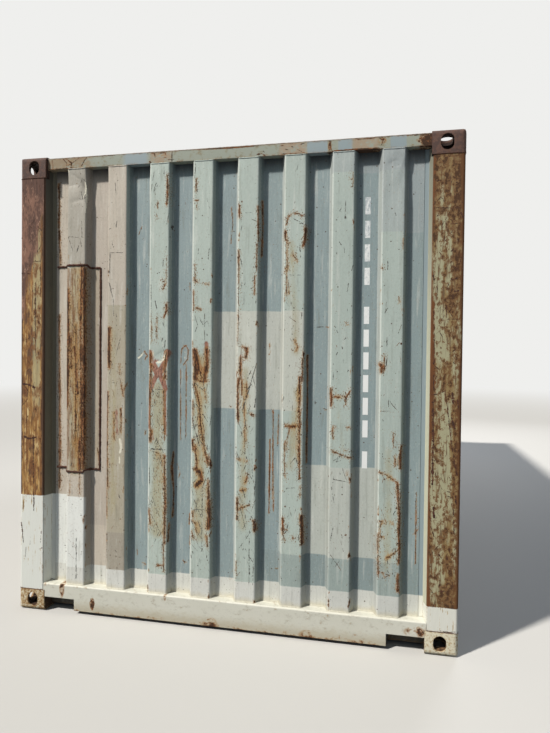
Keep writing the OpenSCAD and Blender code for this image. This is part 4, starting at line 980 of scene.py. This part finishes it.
# left post: plum brown scale at the top, then ochre, cream and brown in upright streaks
POST_INNER = 1066
post = Finish("ochre_and_plum_post_rust")
patch = post.cloud(80, 3, seed=31)
streak = post.cloud(11, 16, seed=32)
knots = post.cloud(26, 2.2, 0.75, seed=33)
grit = post.cloud(7, 2, 0.7, seed=34)
rise = post.math("MULTIPLY", grit, 0.8)
side = post.math("ABSOLUTE", post.across)
tone = post.shade("#9a713c", "#ba9256", post.where(patch, 0.42, 0.58))
tone = post.shade(tone, "#d0b783", post.where(streak, 0.54, 0.62))
tone = post.shade(tone, "#5d3c20", post.where(streak, 0.48, 0.4))
tone = post.shade(tone, "#583a24", post.where(post.nudged(patch, streak, 0.5), 0.54, 0.6))
top = {"colour": tone, "rough": 0.78, "rise": rise}
olive = post.where(side, 1.085, 1.093, post.where(post.nudged(side, knots, 0.03), 1.142, 1.128))
olive = post.where(post.nudged(post.height, patch, 0.5), 1.05, 1.3, olive)
top = post.coat(top, post.shade(tone, "#a8a17c", 0.65), 0.7, rise, olive)
brown = post.shade(top["colour"], "#7d522b", 0.8)
top = post.coat(top, brown, 0.85, rise, post.where(knots, 0.48, 0.56))
top = post.coat(top, "#4a2e16", 0.9, 0.1, post.where(post.nudged(knots, grit, 0.16), 0.6, 0.66))
for low, high in ((1.196, 1.208), (1.086, 1.073)):
    worn = post.where(post.nudged(side, knots, 0.045), low, high)
    top = post.coat(top, post.shade("#563a25", "#37271c", streak), 0.88, rise, worn)
tilted = post.math("MULTIPLY_ADD", side, 4.4, post.height)
plum = post.where(post.nudged(post.nudged(tilted, patch, 0.6), streak, 0.7), 6.94, 7.06)
scaly = post.shade("#4b342b", "#634639", post.where(streak, 0.3, 0.7))
scaly = post.shade(scaly, "#866250", post.where(post.nudged(patch, grit, 0.3), 0.48, 0.6))
scaly = post.shade(scaly, "#9c7a66", post.where(post.nudged(knots, grit, 0.3), 0.56, 0.64))
top = post.coat(top, scaly, 0.85, rise, plum)
# the left post's return and flange get dark olive tones: painted shade, as the return faces away from the
# sun
left_look = foot_and_return(
    post, top, 662, 662, knots, streak, ("#d6d8cf", "#e6e8e0"),
    ("#767260", "#605c4d"), ("#767260", "#605c4d"))

# right post: olive grey paint, stained tan, with brown scale down both edges and scattered knots
post = Finish("olive_post_enamel")
patch = post.cloud(60, 4, seed=35)
streak = post.cloud(9, 12, seed=36)
knots = post.cloud(19, 1.4, 0.75, seed=37)
grit = post.cloud(6, 1.5, 0.7, seed=38)
rise = post.math("MULTIPLY", grit, 0.8)
side = post.math("ABSOLUTE", post.across)
tone = post.shade("#979477", "#aeaa88", patch)
high_up = post.where(post.nudged(post.height, patch, 0.8), 1.9, 2.35)
tanned = post.math("MULTIPLY_ADD", high_up, 0.14, patch)
tanned = post.math("MULTIPLY_ADD", post.where(side, 1.14, 1.19), 0.1, tanned)
tone = post.shade(tone, "#867148", post.where(tanned, 0.48, 0.62))
tone = post.shade(tone, "#5e482f", post.where(streak, 0.53, 0.64))
top = {"colour": tone, "rough": 0.72, "rise": rise}
stained = post.math("MULTIPLY_ADD", tanned, 0.5, knots)
top = post.coat(top, post.shade(tone, "#6a4826", 0.88), 0.8, rise, post.where(stained, 0.755, 0.79))
top = post.coat(top, "#432a12", 0.9, 0.1, post.where(post.nudged(stained, grit, 0.2), 0.85, 0.88))
reach = post.cloud(190, 2, detail=3, seed=39)
worn = post.where(post.nudged(post.nudged(side, reach, 0.06), knots, 0.06), 1.080, 1.070)
top = post.coat(top, post.shade("#7d4c24", "#3f2612", streak), 0.9, rise, worn)
worn = post.where(post.nudged(post.nudged(side, reach, -0.04), knots, 0.04), 1.190, 1.204)
top = post.coat(top, post.shade("#744a24", "#3a2412", streak), 0.9, rise, worn)
right_look = foot_and_return(
    post, top, 242, 268, knots, streak, ("#cfcfc3", "#e0e0d6"),
    ("#b5b59d", "#cbcab2"), ("#7b8b92", "#8d9a9c"))

for node, look in (("front_left_post", left_look), ("front_right_post", right_look)):
    piece = dressed(node, 3)
    finished(piece, look)

# cracks and knocks in the paint of the posts, as wide, strong and long as they look
POST_SET = 3
post_marks = strokes(
    (7, 0.9, 1078, 2211, 1130, 2207, 1192, 2205), (12, 0.8, 1098, 1994, 1115, 1966),
    (10, 0.8, 1152, 1993, 1168, 2010), (6, 0.8, 1124, 2046, 1134, 2059),
    (9, 0.9, 1153, 1926, 1170, 1922, 1186, 1905), (16, 0.8, 1154, 1857, 1187, 1863),
    (14, 0.8, 1168, 1800, 1195, 1804), (6, 0.8, 1076, 2341, 1099, 2343), (9, 0.7, 1147, 2333, 1180, 2328),
    (6, 0.8, 1183, 2131, 1150, 2128), (7, 0.8, 1105, 2262, 1118, 2238), (12, 0.6, 1189, 2200, 1209, 2157),
    (14, 0.8, 1071, 1883, 1080, 1840), (9, 0.8, 1168, 1790, 1162, 1742), (6, 0.6, 1105, 2447, 1119, 2397),
    (6, 0.9, 1072, 1292, 1108, 1300, 1140, 1316), (8, 0.8, 1109, 1600, 1119, 1578),
    (7, 0.9, 1138, 1665, 1195, 1666), (6, 0.9, 1136, 1720, 1138, 1672), (7, 0.7, 1170, 1705, 1161, 1672),
    (18, 0.8, 1171, 1308, 1176, 1250), (14, 0.7, 1195, 1274, 1202, 1225),
    (8, 0.9, 1138, 1300, 1150, 1220, 1160, 1140, 1172, 1050, 1186, 957, 1200, 900),
    (12, 0.7, 1168, 1185, 1187, 1126), (16, 0.9, 1080, 1263, 1084, 1080, 1083, 846),
    (7, 0.7, 1115, 954, 1129, 955), (9, 0.8, 1120, 848, 1131, 827),
    (12, 0.6, 1144, 821, 1175, 815, 1198, 821), (10, 0.5, 1151, 800, 1179, 790),
    (9, 0.7, 1076, 1714, 1081, 1609, 1082, 1320), (14, 0.6, 1192, 803, 1200, 740),
    (22, 0.9, 1088, 740, 1094, 683), (14, 0.9, 1117, 507, 1134, 488), (12, 0.9, 1154, 507, 1161, 483),
    (9, 0.7, 1185, 739, 1189, 612), (12, 0.7, 1077, 647, 1095, 591), (14, 0.8, 1078, 333, 1092, 313),
    (18, 0.7, 1119, 323, 1153, 326), (7, 0.8, 1104, 268, 1094, 240),
    (6, 0.8, 1130, 128, 1170, 124, 1205, 130), (9, 0.9, -1212, 1934, -1150, 1930),
    (7, 0.8, -1140, 1998, -1085, 2002), (7, 0.8, -1088, 2010, -1090, 1800),
    (9, 0.7, -1121, 1880, -1124, 1640), (6, 0.8, -1120, 1800, -1118, 1460),
    (20, 0.9, -1204, 1300, -1160, 1296, -1120, 1278), (9, 0.8, -1165, 1120, -1180, 1070),
    (18, 0.8, -1195, 1000, -1160, 985, -1110, 995),
    (10, 0.8, -1128, 1020, -1130, 800, -1126, 660, -1128, 590), (7, 0.7, -1122, 660, -1127, 570),
    (12, 0.9, -1206, 500, -1198, 440), (9, 0.8, -1200, 440, -1192, 380), (6, 0.8, -1078, 460, -1082, 390),
    (7, 0.8, -1092, 352, -1070, 362), (5, 0.6, -1175, 360, -1180, 300), (5, 0.6, -1148, 420, -1150, 370),
)
for count, x0, x1, low in ((160, 1069, 1213, 280), (80, -1210, -1072, 680)):
    for i in range(count):
        x, z = draw.uniform(x0, x1), draw.uniform(low, 2450)
        reach, turn = draw.exponential(13) + 4, draw.normal(0, 0.7)
        end = (np.clip(x + reach * math.sin(turn), x0, x1), z + reach)
        post_marks.append((draw.uniform(3, 8), draw.uniform(0.5, 0.9), [(x, z), end]))
strips = ribbons("post_rust_lines", post_marks, 16, lambda x, z: np.full(np.shape(x), POST_SET))
finished(strips, dark_look)


WORN_R = 25


def worn_corner(edit):
    """Wears the outer edges of a corner casting rounder than they were cast."""
    middle = Vector((0, 0, TOP / 2))
    half = (HALF_W, HALF_L, TOP / 2)
    for axis in range(3):
        for share in (1, 0.6, 0.3, 0.1):
            for end in (-1, 1):
                place = middle.copy()
                place[axis] += end * (half[axis] - WORN_R * share)
                way = [int(i == axis) for i in range(3)]
                geom = list(edit.verts) + list(edit.edges) + list(edit.faces)
                bmesh.ops.bisect_plane(edit, geom=geom, dist=1e-7, plane_co=place * MM, plane_no=way)
    for vert in edit.verts:
        place = vert.co / MM - middle
        for i, j in ((0, 1), (1, 2), (0, 2), (0, 1)):
            deep = [abs(place[k]) - half[k] + WORN_R for k in (i, j)]
            if min(deep) > 0 and math.hypot(*deep) > WORN_R:
                for k, d in zip((i, j), deep):
                    in_ = half[k] - WORN_R + d * WORN_R / math.hypot(*deep)
                    place[k] = math.copysign(in_, place[k])
        vert.co = (place + middle) * MM


def casting_paint(name, base, tan, rust, dark, cover, grain, seed):
    """The rough skin of a cast block: paint in patches, stained tan, then rusted, then scaled dark."""
    coat = Finish(name)
    patch = coat.cloud(60, 1, 0.65, seed=seed)
    blotch = coat.cloud(grain, 1, 0.75, seed=seed + 1)
    skin = coat.cloud(9, 1, 0.7, detail=5, seed=seed + 2)
    rise = coat.math("MULTIPLY", skin, 1.8)
    top = {"colour": coat.shade(base[0], base[1], patch), "rough": 0.75, "rise": rise}
    middle = coat.math("ADD", coat.height, -TOP / 2 * MM)
    inside = None
    for value, edge in ((coat.across, HALF_W), (coat.along, HALF_L), (middle, TOP / 2)):
        size = coat.math("ABSOLUTE", value)
        within = (inside,) if inside else ()
        inside = coat.where(size, (edge - 5) * MM, (edge - 14) * MM, *within)
    worn = coat.math("MULTIPLY_ADD", inside, 0.3, cover)
    worn = coat.math("MULTIPLY_ADD", edges(coat, 16), 0.07, worn)
    worn = coat.math("ADD", worn, blotch)
    worn = coat.nudged(worn, skin, 0.16)
    top = coat.coat(top, tan, 0.8, rise, coat.where(worn, 0.48, 0.56))
    top = coat.coat(top, rust, 0.9, rise, coat.where(worn, 0.58, 0.66))
    return coat.done(coat.coat(top, dark, 0.92, rise, coat.where(worn, 0.7, 0.8)))


brown_casting = casting_paint(
    "brown_casting_rust", ("#4b352d", "#402c26"), "#5f4439", "#513829", "#2b1d18", 0.0, 24, 41)
white_casting = casting_paint(
    "chipped_white_casting", ("#d0c9ae", "#dad5c1"), "#b7a27c", "#80603d", "#46311f", -0.02, 13, 44)
stained_casting = casting_paint(
    "stained_white_casting", ("#c9c1a5", "#d6d0ba"), "#a98f66", "#7a5734", "#432e1d", 0.06, 15, 47)
for level, side, look in (
    ("top", "left", brown_casting), ("top", "right", brown_casting),
    ("bottom", "left", stained_casting), ("bottom", "right", white_casting),
):
    for end in ("front", "rear"):
        casting = dressed(f"{end}_{level}_{side}_casting", shape=worn_corner)
        finished(casting, look)

# fillet welds where the posts meet the castings, across the front and along the outer side, and upright
# welds where the header meets the top castings
CASTING_W, CASTING_L, CASTING_H, WELD_R = 162, 178, 118, 2.6
runs_ = []
for x_side in (-1, 1):
    for z in (CASTING_H + 1.5, TOP - CASTING_H - 1.5):
        face_x, face_y = x_side * (HALF_W - POST_SET), -(HALF_L - POST_SET)
        runs_.append([(x_side * POST_INNER, face_y, z), (face_x - x_side * 8, face_y, z)])
        runs_.append([(face_x, face_y + 8, z), (face_x, -HALF_L + CASTING_L - 12, z)])
for x_side in (-1, 1):
    x = x_side * (HALF_W - CASTING_W - 1.5)
    runs_.append([(x, -HALF_L + 20, 2522), (x, -HALF_L + 20, 2578)])
post_welds = bead("post_welds", runs_, WELD_R, 23)
finished(post_welds, dark_look)

# header: cream paint over a square tube, repainted grey-blue in places, rusted through at both ends
header = dressed("front_header", 4)
coat = Finish("chipped_cream_header_paint")
patch = coat.cloud(110, (2, 1, 1), 0.65, seed=51)
spots = coat.cloud(24, (1.3, 1, 1), 0.75, seed=52)
grit = coat.cloud(7, 1, 0.7, seed=53)
rise = coat.math("MULTIPLY", grit, 0.5)
tone = coat.shade("#8e9587", "#9ba093", patch)
tone = coat.shade(tone, "#86826c", coat.where(spots, 0.5, 0.64))
top = {"colour": tone, "rough": 0.68, "rise": rise}
for x0, x1, edge in ((-585, -450, 60), (436, 540, 14), (596, 668, 14), (857, 935, 12)):
    top = coat.coat(top, "#8c9a9d", 0.55, 0.3, box_mask(coat, x0, x1, 0, 2700, edge, patch))
at_left = coat.where(coat.nudged(coat.across, patch, 0.2), -0.74, -0.84)
tan = coat.shade("#a5967c", "#84715a", spots)
top = coat.coat(top, tan, 0.8, rise, coat.where(spots, 0.34, 0.5, at_left))
for x0, x1 in ((-428, -310), (290, 430), (668, 800)):
    pink = coat.shade("#aa9d89", "#958169", spots)
    worn = coat.where(spots, 0.36, 0.5, box_mask(coat, x0, x1, 0, 2700, 50, patch))
    top = coat.coat(top, pink, 0.75, rise, worn)
at_right = coat.where(coat.nudged(coat.across, spots, 0.12), 0.95, 1.02)
rust = coat.math("MULTIPLY_ADD", edges(coat, 12), 0.2, spots)
rust = coat.math("MULTIPLY_ADD", at_right, 0.3, rust)
rust = blots(
    coat, rust, spots, (20, 2580, 210, 10, 0.3), (680, 2520, 160, 12, 0.4), (-920, 2550, 60, 40, 0.1),
    (-370, 2560, 60, 26, 0.16), (552, 2550, 14, 36, 0.24), (815, 2560, 34, 26, 0.2),
    (360, 2550, 60, 30, 0.12))
rust = coat.math("MULTIPLY_ADD", rust, 3.2, -1.78)
finished(header, coat.done(rusted(coat, top, rust, grit)))

# cracks and chips of the header's paint
HEADER_SET = 20
header_marks = strokes(
    (6, 0.8, -1030, 2576, -1022, 2545, -1026, 2526), (9, 0.9, -960, 2578, -935, 2550, -938, 2524),
    (12, 0.8, -945, 2579, -905, 2550, -912, 2522), (6, 0.8, -860, 2578, -885, 2560, -930, 2535),
    (8, 0.8, -812, 2578, -830, 2556, -845, 2530), (7, 0.7, -1055, 2524, -1000, 2523, -850, 2522),
    (5, 0.6, -800, 2578, -700, 2578, -640, 2578), (5, 0.5, -690, 2522, -600, 2522),
    (11, 0.8, -440, 2534, -425, 2524), (10, 0.9, -425, 2575, -405, 2571, -402, 2550),
    (8, 0.9, -375, 2572, -345, 2574, -340, 2560), (7, 0.9, -360, 2550, -335, 2545),
    (8, 0.9, -303, 2578, -306, 2555, -304, 2535, -306, 2523), (6, 0.8, -330, 2535, -290, 2532),
    (5, 0.6, -290, 2578, -40, 2578), (9, 0.9, -40, 2577, 60, 2575, 165, 2577),
    (12, 0.9, 168, 2530, 195, 2535, 214, 2523), (7, 0.8, 200, 2548, 212, 2540),
    (8, 0.9, 290, 2566, 312, 2570), (8, 0.9, 318, 2550, 338, 2545), (7, 0.9, 352, 2562, 368, 2556),
    (7, 0.9, 395, 2570, 420, 2572), (7, 0.8, 385, 2545, 410, 2530), (6, 0.8, 300, 2526, 425, 2524),
    (8, 0.9, 548, 2577, 558, 2570, 556, 2540, 566, 2523), (10, 0.9, 570, 2524, 680, 2526, 800, 2526),
    (7, 0.8, 680, 2578, 700, 2574, 780, 2577), (8, 0.7, 800, 2576, 820, 2560, 812, 2540),
    (8, 0.8, 935, 2578, 985, 2576, 1040, 2577), (12, 0.7, 1010, 2570, 1020, 2540, 1015, 2523),
)
strips = ribbons("header_rust_lines", header_marks, 17, lambda x, z: np.full(np.shape(x), HEADER_SET))
finished(strips, scale_look)

# sill: thick white paint on bent plate, rubbed to rust along its lower edge and stained below leaks
sill = dressed("front_sill", 4)
coat = Finish("thick_white_sill_paint")
patch = coat.cloud(200, (2, 1, 1), seed=61)
spots = coat.cloud(26, (1.5, 1, 1), 0.75, seed=62)
grit = coat.cloud(7, 1, 0.7, seed=63)
rise = coat.math("MULTIPLY", spots, 1.0)
top = {"colour": coat.shade("#c6c5b6", "#d4d3c7", patch), "rough": 0.55, "rise": rise}
top = coat.wash(top, "#8f8b78", 0.35, 0.65, coat.where(spots, 0.5, 0.68))
dirt = coat.where(coat.nudged(coat.height, spots, 0.12), 0.09, 0.03)
top = coat.wash(top, "#9b8a62", 0.45, 0.7, dirt)
low_edge = coat.where(coat.nudged(coat.height, patch, 0.05), 0.05, 0.014)
rust = coat.math("MULTIPLY_ADD", low_edge, 0.17, spots)
rust = coat.math("MULTIPLY_ADD", edges(coat, 10), 0.06, rust)
rust = blots(
    coat, rust, spots, (-755, 70, 20, 42, 0.3), (-945, 140, 22, 70, 0.24), (1000, 106, 70, 36, 0.17),
    (1045, 118, 30, 44, 0.13), (-320, 150, 12, 30, 0.2), (-60, 45, 60, 40, 0.14),
    (470, 40, 70, 30, 0.12), (-1050, 140, 10, 60, 0.12))
rust = coat.math("MULTIPLY_ADD", rust, 3.2, -1.72)
finished(sill, coat.done(rusted(coat, top, rust, grit)))


# The other steelwork
# Rails, side walls, roof, door leaves and rear frame: the same warm grey enamel over welded steel, less
# knocked than the front, with rust at the edges and dirt running down from above.
def aged_enamel(name, one, other, share, seed, run=25, rough=0.6, metallic=0.0, extra=None):
    """Old enamel over steel: patchy and chalked, dirt in runs, chipped edges, rust coming through."""
    coat = Finish(name)
    patch = coat.cloud(420, 1.6, seed=seed)
    mottle = coat.cloud(38, 2.5, 0.65, seed=seed + 1)
    runs_ = coat.cloud(20, run, detail=5, seed=seed + 2)
    spots_ = coat.cloud(22, 1.8, 0.72, seed=seed + 3)
    grit_ = coat.cloud(7, 1, 0.7, detail=5, seed=seed + 4)
    tone_ = coat.shade(one, other, coat.where(patch, 0.36, 0.64))
    rise = coat.math("MULTIPLY", mottle, 0.4)
    under = {"colour": tone_, "rough": rough, "rise": rise}
    chalky = coat.where(mottle, 0.5, 0.34)
    under = coat.wash(under, "#e4e2d8", 0.2, rough + 0.05, chalky)
    dirty = coat.where(coat.nudged(runs_, patch, 0.6), 0.52, 0.76)
    under = coat.wash(under, "#4a463e", 0.34, 0.75, dirty)
    splashed = coat.where(coat.nudged(coat.height, mottle, 0.5), 0.5, 0.0)
    under = coat.wash(under, "#7d7159", 0.35, 0.8, splashed)
    chips = coat.nudged(spots_, coat.cloud(310, detail=3, seed=seed + 5), 0.5)
    chips = coat.math("MULTIPLY_ADD", edges(coat, 14), 0.15, chips)
    chips = coat.math("ADD", chips, share)
    chips = coat.math("MULTIPLY_ADD", chips, 3.2, -1.72)
    if extra:
        under, chips = extra(coat, under, chips)
    return coat.done(rusted(coat, under, chips, grit_), metallic)


def side_wall_wear(coat, under, chips):
    """Sun has faded the outer faces of a side wall paler, and its scrapes and rust runs are set on it."""
    out_ = coat.math("ABSOLUTE", coat.across)
    under = coat.wash(under, "#dedbd0", 0.22, 0.65, coat.where(out_, 1.200, 1.210))
    soot_ = coat.cloud(30, 9, detail=5, seed=97)
    high = coat.where(coat.nudged(coat.height, soot_, 1.5), 2.1, 2.6)
    under = coat.wash(under, "#33312d", 0.4, 0.75, high)
    marked = coat.nudged(coat.nudged(coat.mark("rust"), coat.cloud(8, detail=5, seed=98), 1.2), soot_, 1.0)
    return under, coat.math("MAXIMUM", chips, marked)


def roof_wear(coat, under, chips):
    """Dust and rust lie in the roof's troughs, where the rain stands."""
    pool = coat.cloud(130, (1, 0.6, 1), seed=99)
    low = coat.where(coat.nudged(coat.height, pool, 0.004), ROOF_TOP * MM - 0.005, ROOF_TOP * MM - 0.016)
    under = coat.wash(under, "#7c705a", 0.55, 0.85, low)
    standing = coat.math("MULTIPLY", low, coat.where(pool, 0.5, 0.68))
    return under, coat.math("MULTIPLY_ADD", standing, 0.6, chips)


ROOF_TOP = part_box("roof_panel")[1].z / MM
frame_enamel = aged_enamel("warm_grey_frame_enamel", "#9b958a", "#aba59a", 0.05, 71)
wall_enamel = aged_enamel("warm_grey_side_enamel", "#a29e94", "#b5b1a7", -0.02, 74, extra=side_wall_wear)
roof_enamel = aged_enamel("chalked_roof_enamel", "#a5a096", "#b6b2a8", 0.045, 77, run=1, extra=roof_wear)
door_enamel = aged_enamel("warm_grey_door_enamel", "#a19c92", "#b4b0a5", 0.04, 80, run=6)
bitumen = aged_enamel("black_underbody_wax", "#26272a", "#3a3a38", 0.05, 83, run=2, rough=0.5)
zinc = aged_enamel("dull_zinc_plating", "#9c9c99", "#b5b5b1", 0.02, 86, run=4, rough=0.42, metallic=0.55)
plywood = aged_enamel("worn_floor_plywood", "#7d5c3c", "#94714b", -0.3, 89, run=3)
rubber = aged_enamel("black_door_rubber", "#1c1d1e", "#2a2a2a", -0.4, 92, run=6, rough=0.55)
vent_enamel = aged_enamel("painted_vent_plastic", "#a29e94", "#b5b1a7", -0.2, 95)
looks = {
    "rear_posts": frame_enamel, "door_beams": frame_enamel, "bottom_rails": frame_enamel,
    "top_rails": frame_enamel, "vents": vent_enamel, "roof": roof_enamel,
    "doors": door_enamel, "hinges": door_enamel, "door_gear": zinc, "base": bitumen,
    "plywood_floor": plywood, "door_seals": rubber,
}
for part in frame["record"]["subparts"]:
    if part["material_slot"] in looks:
        piece = frame["nodes"][part["node"]]
        piece.data.materials.clear()
        piece.data.materials.append(looks[part["material_slot"]])

# side walls: one pressed sheet each, 1.6 mm thick, slack between its welds, dented and scraped by other
# containers, and rusting in runs below the scrapes
SIDE_RIDGES, SIDE_PITCH, SIDE_RIDGE_W, SIDE_SLOPE_W, SIDE_T = 20, 278, 72, 68, 1.6
SIDE_ROWS, SIDE_BACK_ROWS = 72, 8
side_low, side_high = (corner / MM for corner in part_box("right_wall"))
SIDE_SET, SIDE_RECESS_SET = HALF_W - side_high.x, 41
VENT_Y, VENT_REACH, VENT_LOW = 2502, 150, 2280
side_line = soft_bends(wave_line(
    SIDE_RIDGES, SIDE_PITCH, SIDE_RIDGE_W, SIDE_SLOPE_W, SIDE_SET, SIDE_RECESS_SET, side_high.y),
    radius=12, step=30, turns=2)


def side_dents(seed, vent_y):
    """Makes the dent depths of one side wall: slack all over and a dozen knocks between the welds."""
    draw = np.random.default_rng(seed)
    knocks = [((draw.uniform(-2600, 2600), draw.uniform(500, 2200)),
               (draw.uniform(40, 160), draw.uniform(50, 220)), draw.uniform(4, 13)) for i in range(14)]
    scrapes = []
    for i in range(5):
        y, z = draw.uniform(-2500, 1900), draw.uniform(400, 1900)
        scrapes.append(((y, z), (y + draw.uniform(200, 700), z + draw.uniform(-40, 40)), 22, 5))

    def depth(y, z):
        slack = 1.5 + 1.4 * np.sin(y / 310 + z / 420 + seed) + 1.1 * np.sin(y / 151 - z / 260)
        dent = sum(hollow(y, z, *k) for k in knocks) + sum(crease(y, z, *k) for k in scrapes)
        fade = np.clip((z - side_low.z) / 120, 0, 1) * np.clip((side_high.z - z) / 90, 0, 1)
        fade = fade * np.clip((side_high.y - abs(y)) / 90, 0, 1)
        near_vent = (abs(y - vent_y) < VENT_REACH) & (z > VENT_LOW)
        return (slack + dent) * np.where(near_vent, 0, fade)
    return depth


def side_marks(seed):
    """Scrapes along a side wall, and the rust runs and knocked ridges that follow from them."""
    draw = np.random.default_rng(seed)
    marks = []
    for i in range(26):
        y, z = draw.uniform(-2700, 2600), draw.uniform(260, 2200)
        end = (y + draw.normal(0, 120), z + draw.normal(0, 14))
        marks.append((draw.uniform(6, 16), draw.uniform(0.5, 0.9), [(y, z), end]))
    for i in range(90):
        ridge = (draw.integers(SIDE_RIDGES) - (SIDE_RIDGES - 1) / 2) * SIDE_PITCH
        y = ridge + draw.choice((-1, 1)) * draw.normal(SIDE_RIDGE_W / 2, 5)
        z = draw.uniform(200, 2300)
        end = (y + draw.normal(0, 4), z + draw.exponential(110))
        marks.append((draw.uniform(5, 16), draw.uniform(0.5, 0.95), [(y, z), end]))
    for i in range(30):
        y = draw.uniform(-2780, 2780)
        end = (y, 178 + draw.exponential(50))
        marks.append((draw.uniform(8, 22), draw.uniform(0.5, 0.8), [(y, 178), end]))
    return marks


for sign, side, vent_y in ((-1, "left", -VENT_Y), (1, "right", VENT_Y)):
    sheet = pressed_sheet(
        side + "_wall_sheet", side_line, side_low.z, side_high.z, SIDE_ROWS, SIDE_BACK_ROWS, SIDE_T,
        lambda y, d, z: (sign * (HALF_W - d), y, z), side_dents(31 + sign, vent_y))
    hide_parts(side + "_wall")
    set_marks(sheet, "rust", side_marks(35 + sign), 22, axis=1)
    finished(sheet, wall_enamel)

# the welds that hold each side wall to its rails, and the seams between the five sheets of the roof
side_routes = []
for sign in (-1, 1):
    for z in (side_low.z + 1.5, side_high.z - 1.5):
        side_routes.append([(sign * (HALF_W - d), y, z) for y, d in side_line])
side_weld = bead("side_wall_welds", side_routes, 2.6, 24, sides=5, step=16)
finished(side_weld, frame_enamel)
ROOF_PITCH, SEAM_HALF = 209, 1150
seams = [[(-SEAM_HALF, y, ROOF_TOP), (SEAM_HALF, y, ROOF_TOP)] for y in np.arange(-10, 11, 5) * ROOF_PITCH]
roof_seams = bead("roof_seams", seams, 2.4, 25, sides=5, step=14)
finished(roof_seams, roof_enamel)


# door fasteners: dome-headed bolts through the foot plates and hinge blades, zinc plated, then painted
def solids_of(node):
    """The boxes of the separate solids of a CAD node, in the order of their places."""
    edit = to_edit(node)
    left, boxes = set(edit.verts), []
    while left:
        group, stack = [], [left.pop()]
        while stack:
            vert = stack.pop()
            group.append(vert.co / MM)
            for edge in vert.link_edges:
                other = edge.other_vert(vert)
                if other in left:
                    left.remove(other)
                    stack.append(other)
        group = np.array(group)
        boxes.append((group.min(0), group.max(0)))
    edit.free()
    return sorted(boxes, key=lambda box: tuple(np.round(box[0], 1)))


def bolt_heads(name, places, radius, rise):
    """Dome-headed bolts that stand on faces turned to the rear."""
    points, faces = [], []
    for x, y, z in places:
        first = len(points)
        for r, h in ((1, 0), (0.95, 0.4), (0.62, 0.85)):
            points += [(x + r * radius * math.cos(a), y + h * rise, z + r * radius * math.sin(a))
                       for a in np.arange(10) * math.tau / 10]
        points.append((x, y + rise, z))
        for ring in (0, 10):
            faces += [[first + ring + k, first + ring + (k + 1) % 10, first + ring + 10 + (k + 1) % 10,
                       first + ring + 10 + k] for k in range(10)]
        faces += [[first + 20 + k, first + 20 + (k + 1) % 10, first + 30] for k in range(10)]
    return new_piece(name, new_mesh(name, points, faces), sharp=60)


DOOR_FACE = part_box("right_door_frame")[1].y / MM
PLATE_T, BLADE_T = 2.5, 10
PLATE_BOLT_X, PLATE_BOLT_Z, BLADE_BOLTS = 22, 33, (16, 42, 68)
places = []
for low, high in solids_of("rod_brackets"):
    x, z = (low[0] + high[0]) / 2, (low[2] + high[2]) / 2
    places += [(x + i * PLATE_BOLT_X, DOOR_FACE + PLATE_T, z + k * PLATE_BOLT_Z)
               for i in (-1, 1) for k in (-1, 1)]
bolts = bolt_heads("bracket_bolts", places, 7, 4.5)
finished(bolts, zinc)
places = []
for side, sign in (("left", -1), ("right", 1)):
    for low, high in solids_of(side + "_door_hinges"):
        near = min(abs(low[0]), abs(high[0]))
        z = (low[2] + high[2]) / 2
        places += [(sign * (near + reach), DOOR_FACE + BLADE_T, z) for reach in BLADE_BOLTS]
bolts = bolt_heads("hinge_bolts", places, 8, 5)
finished(bolts, door_enamel)
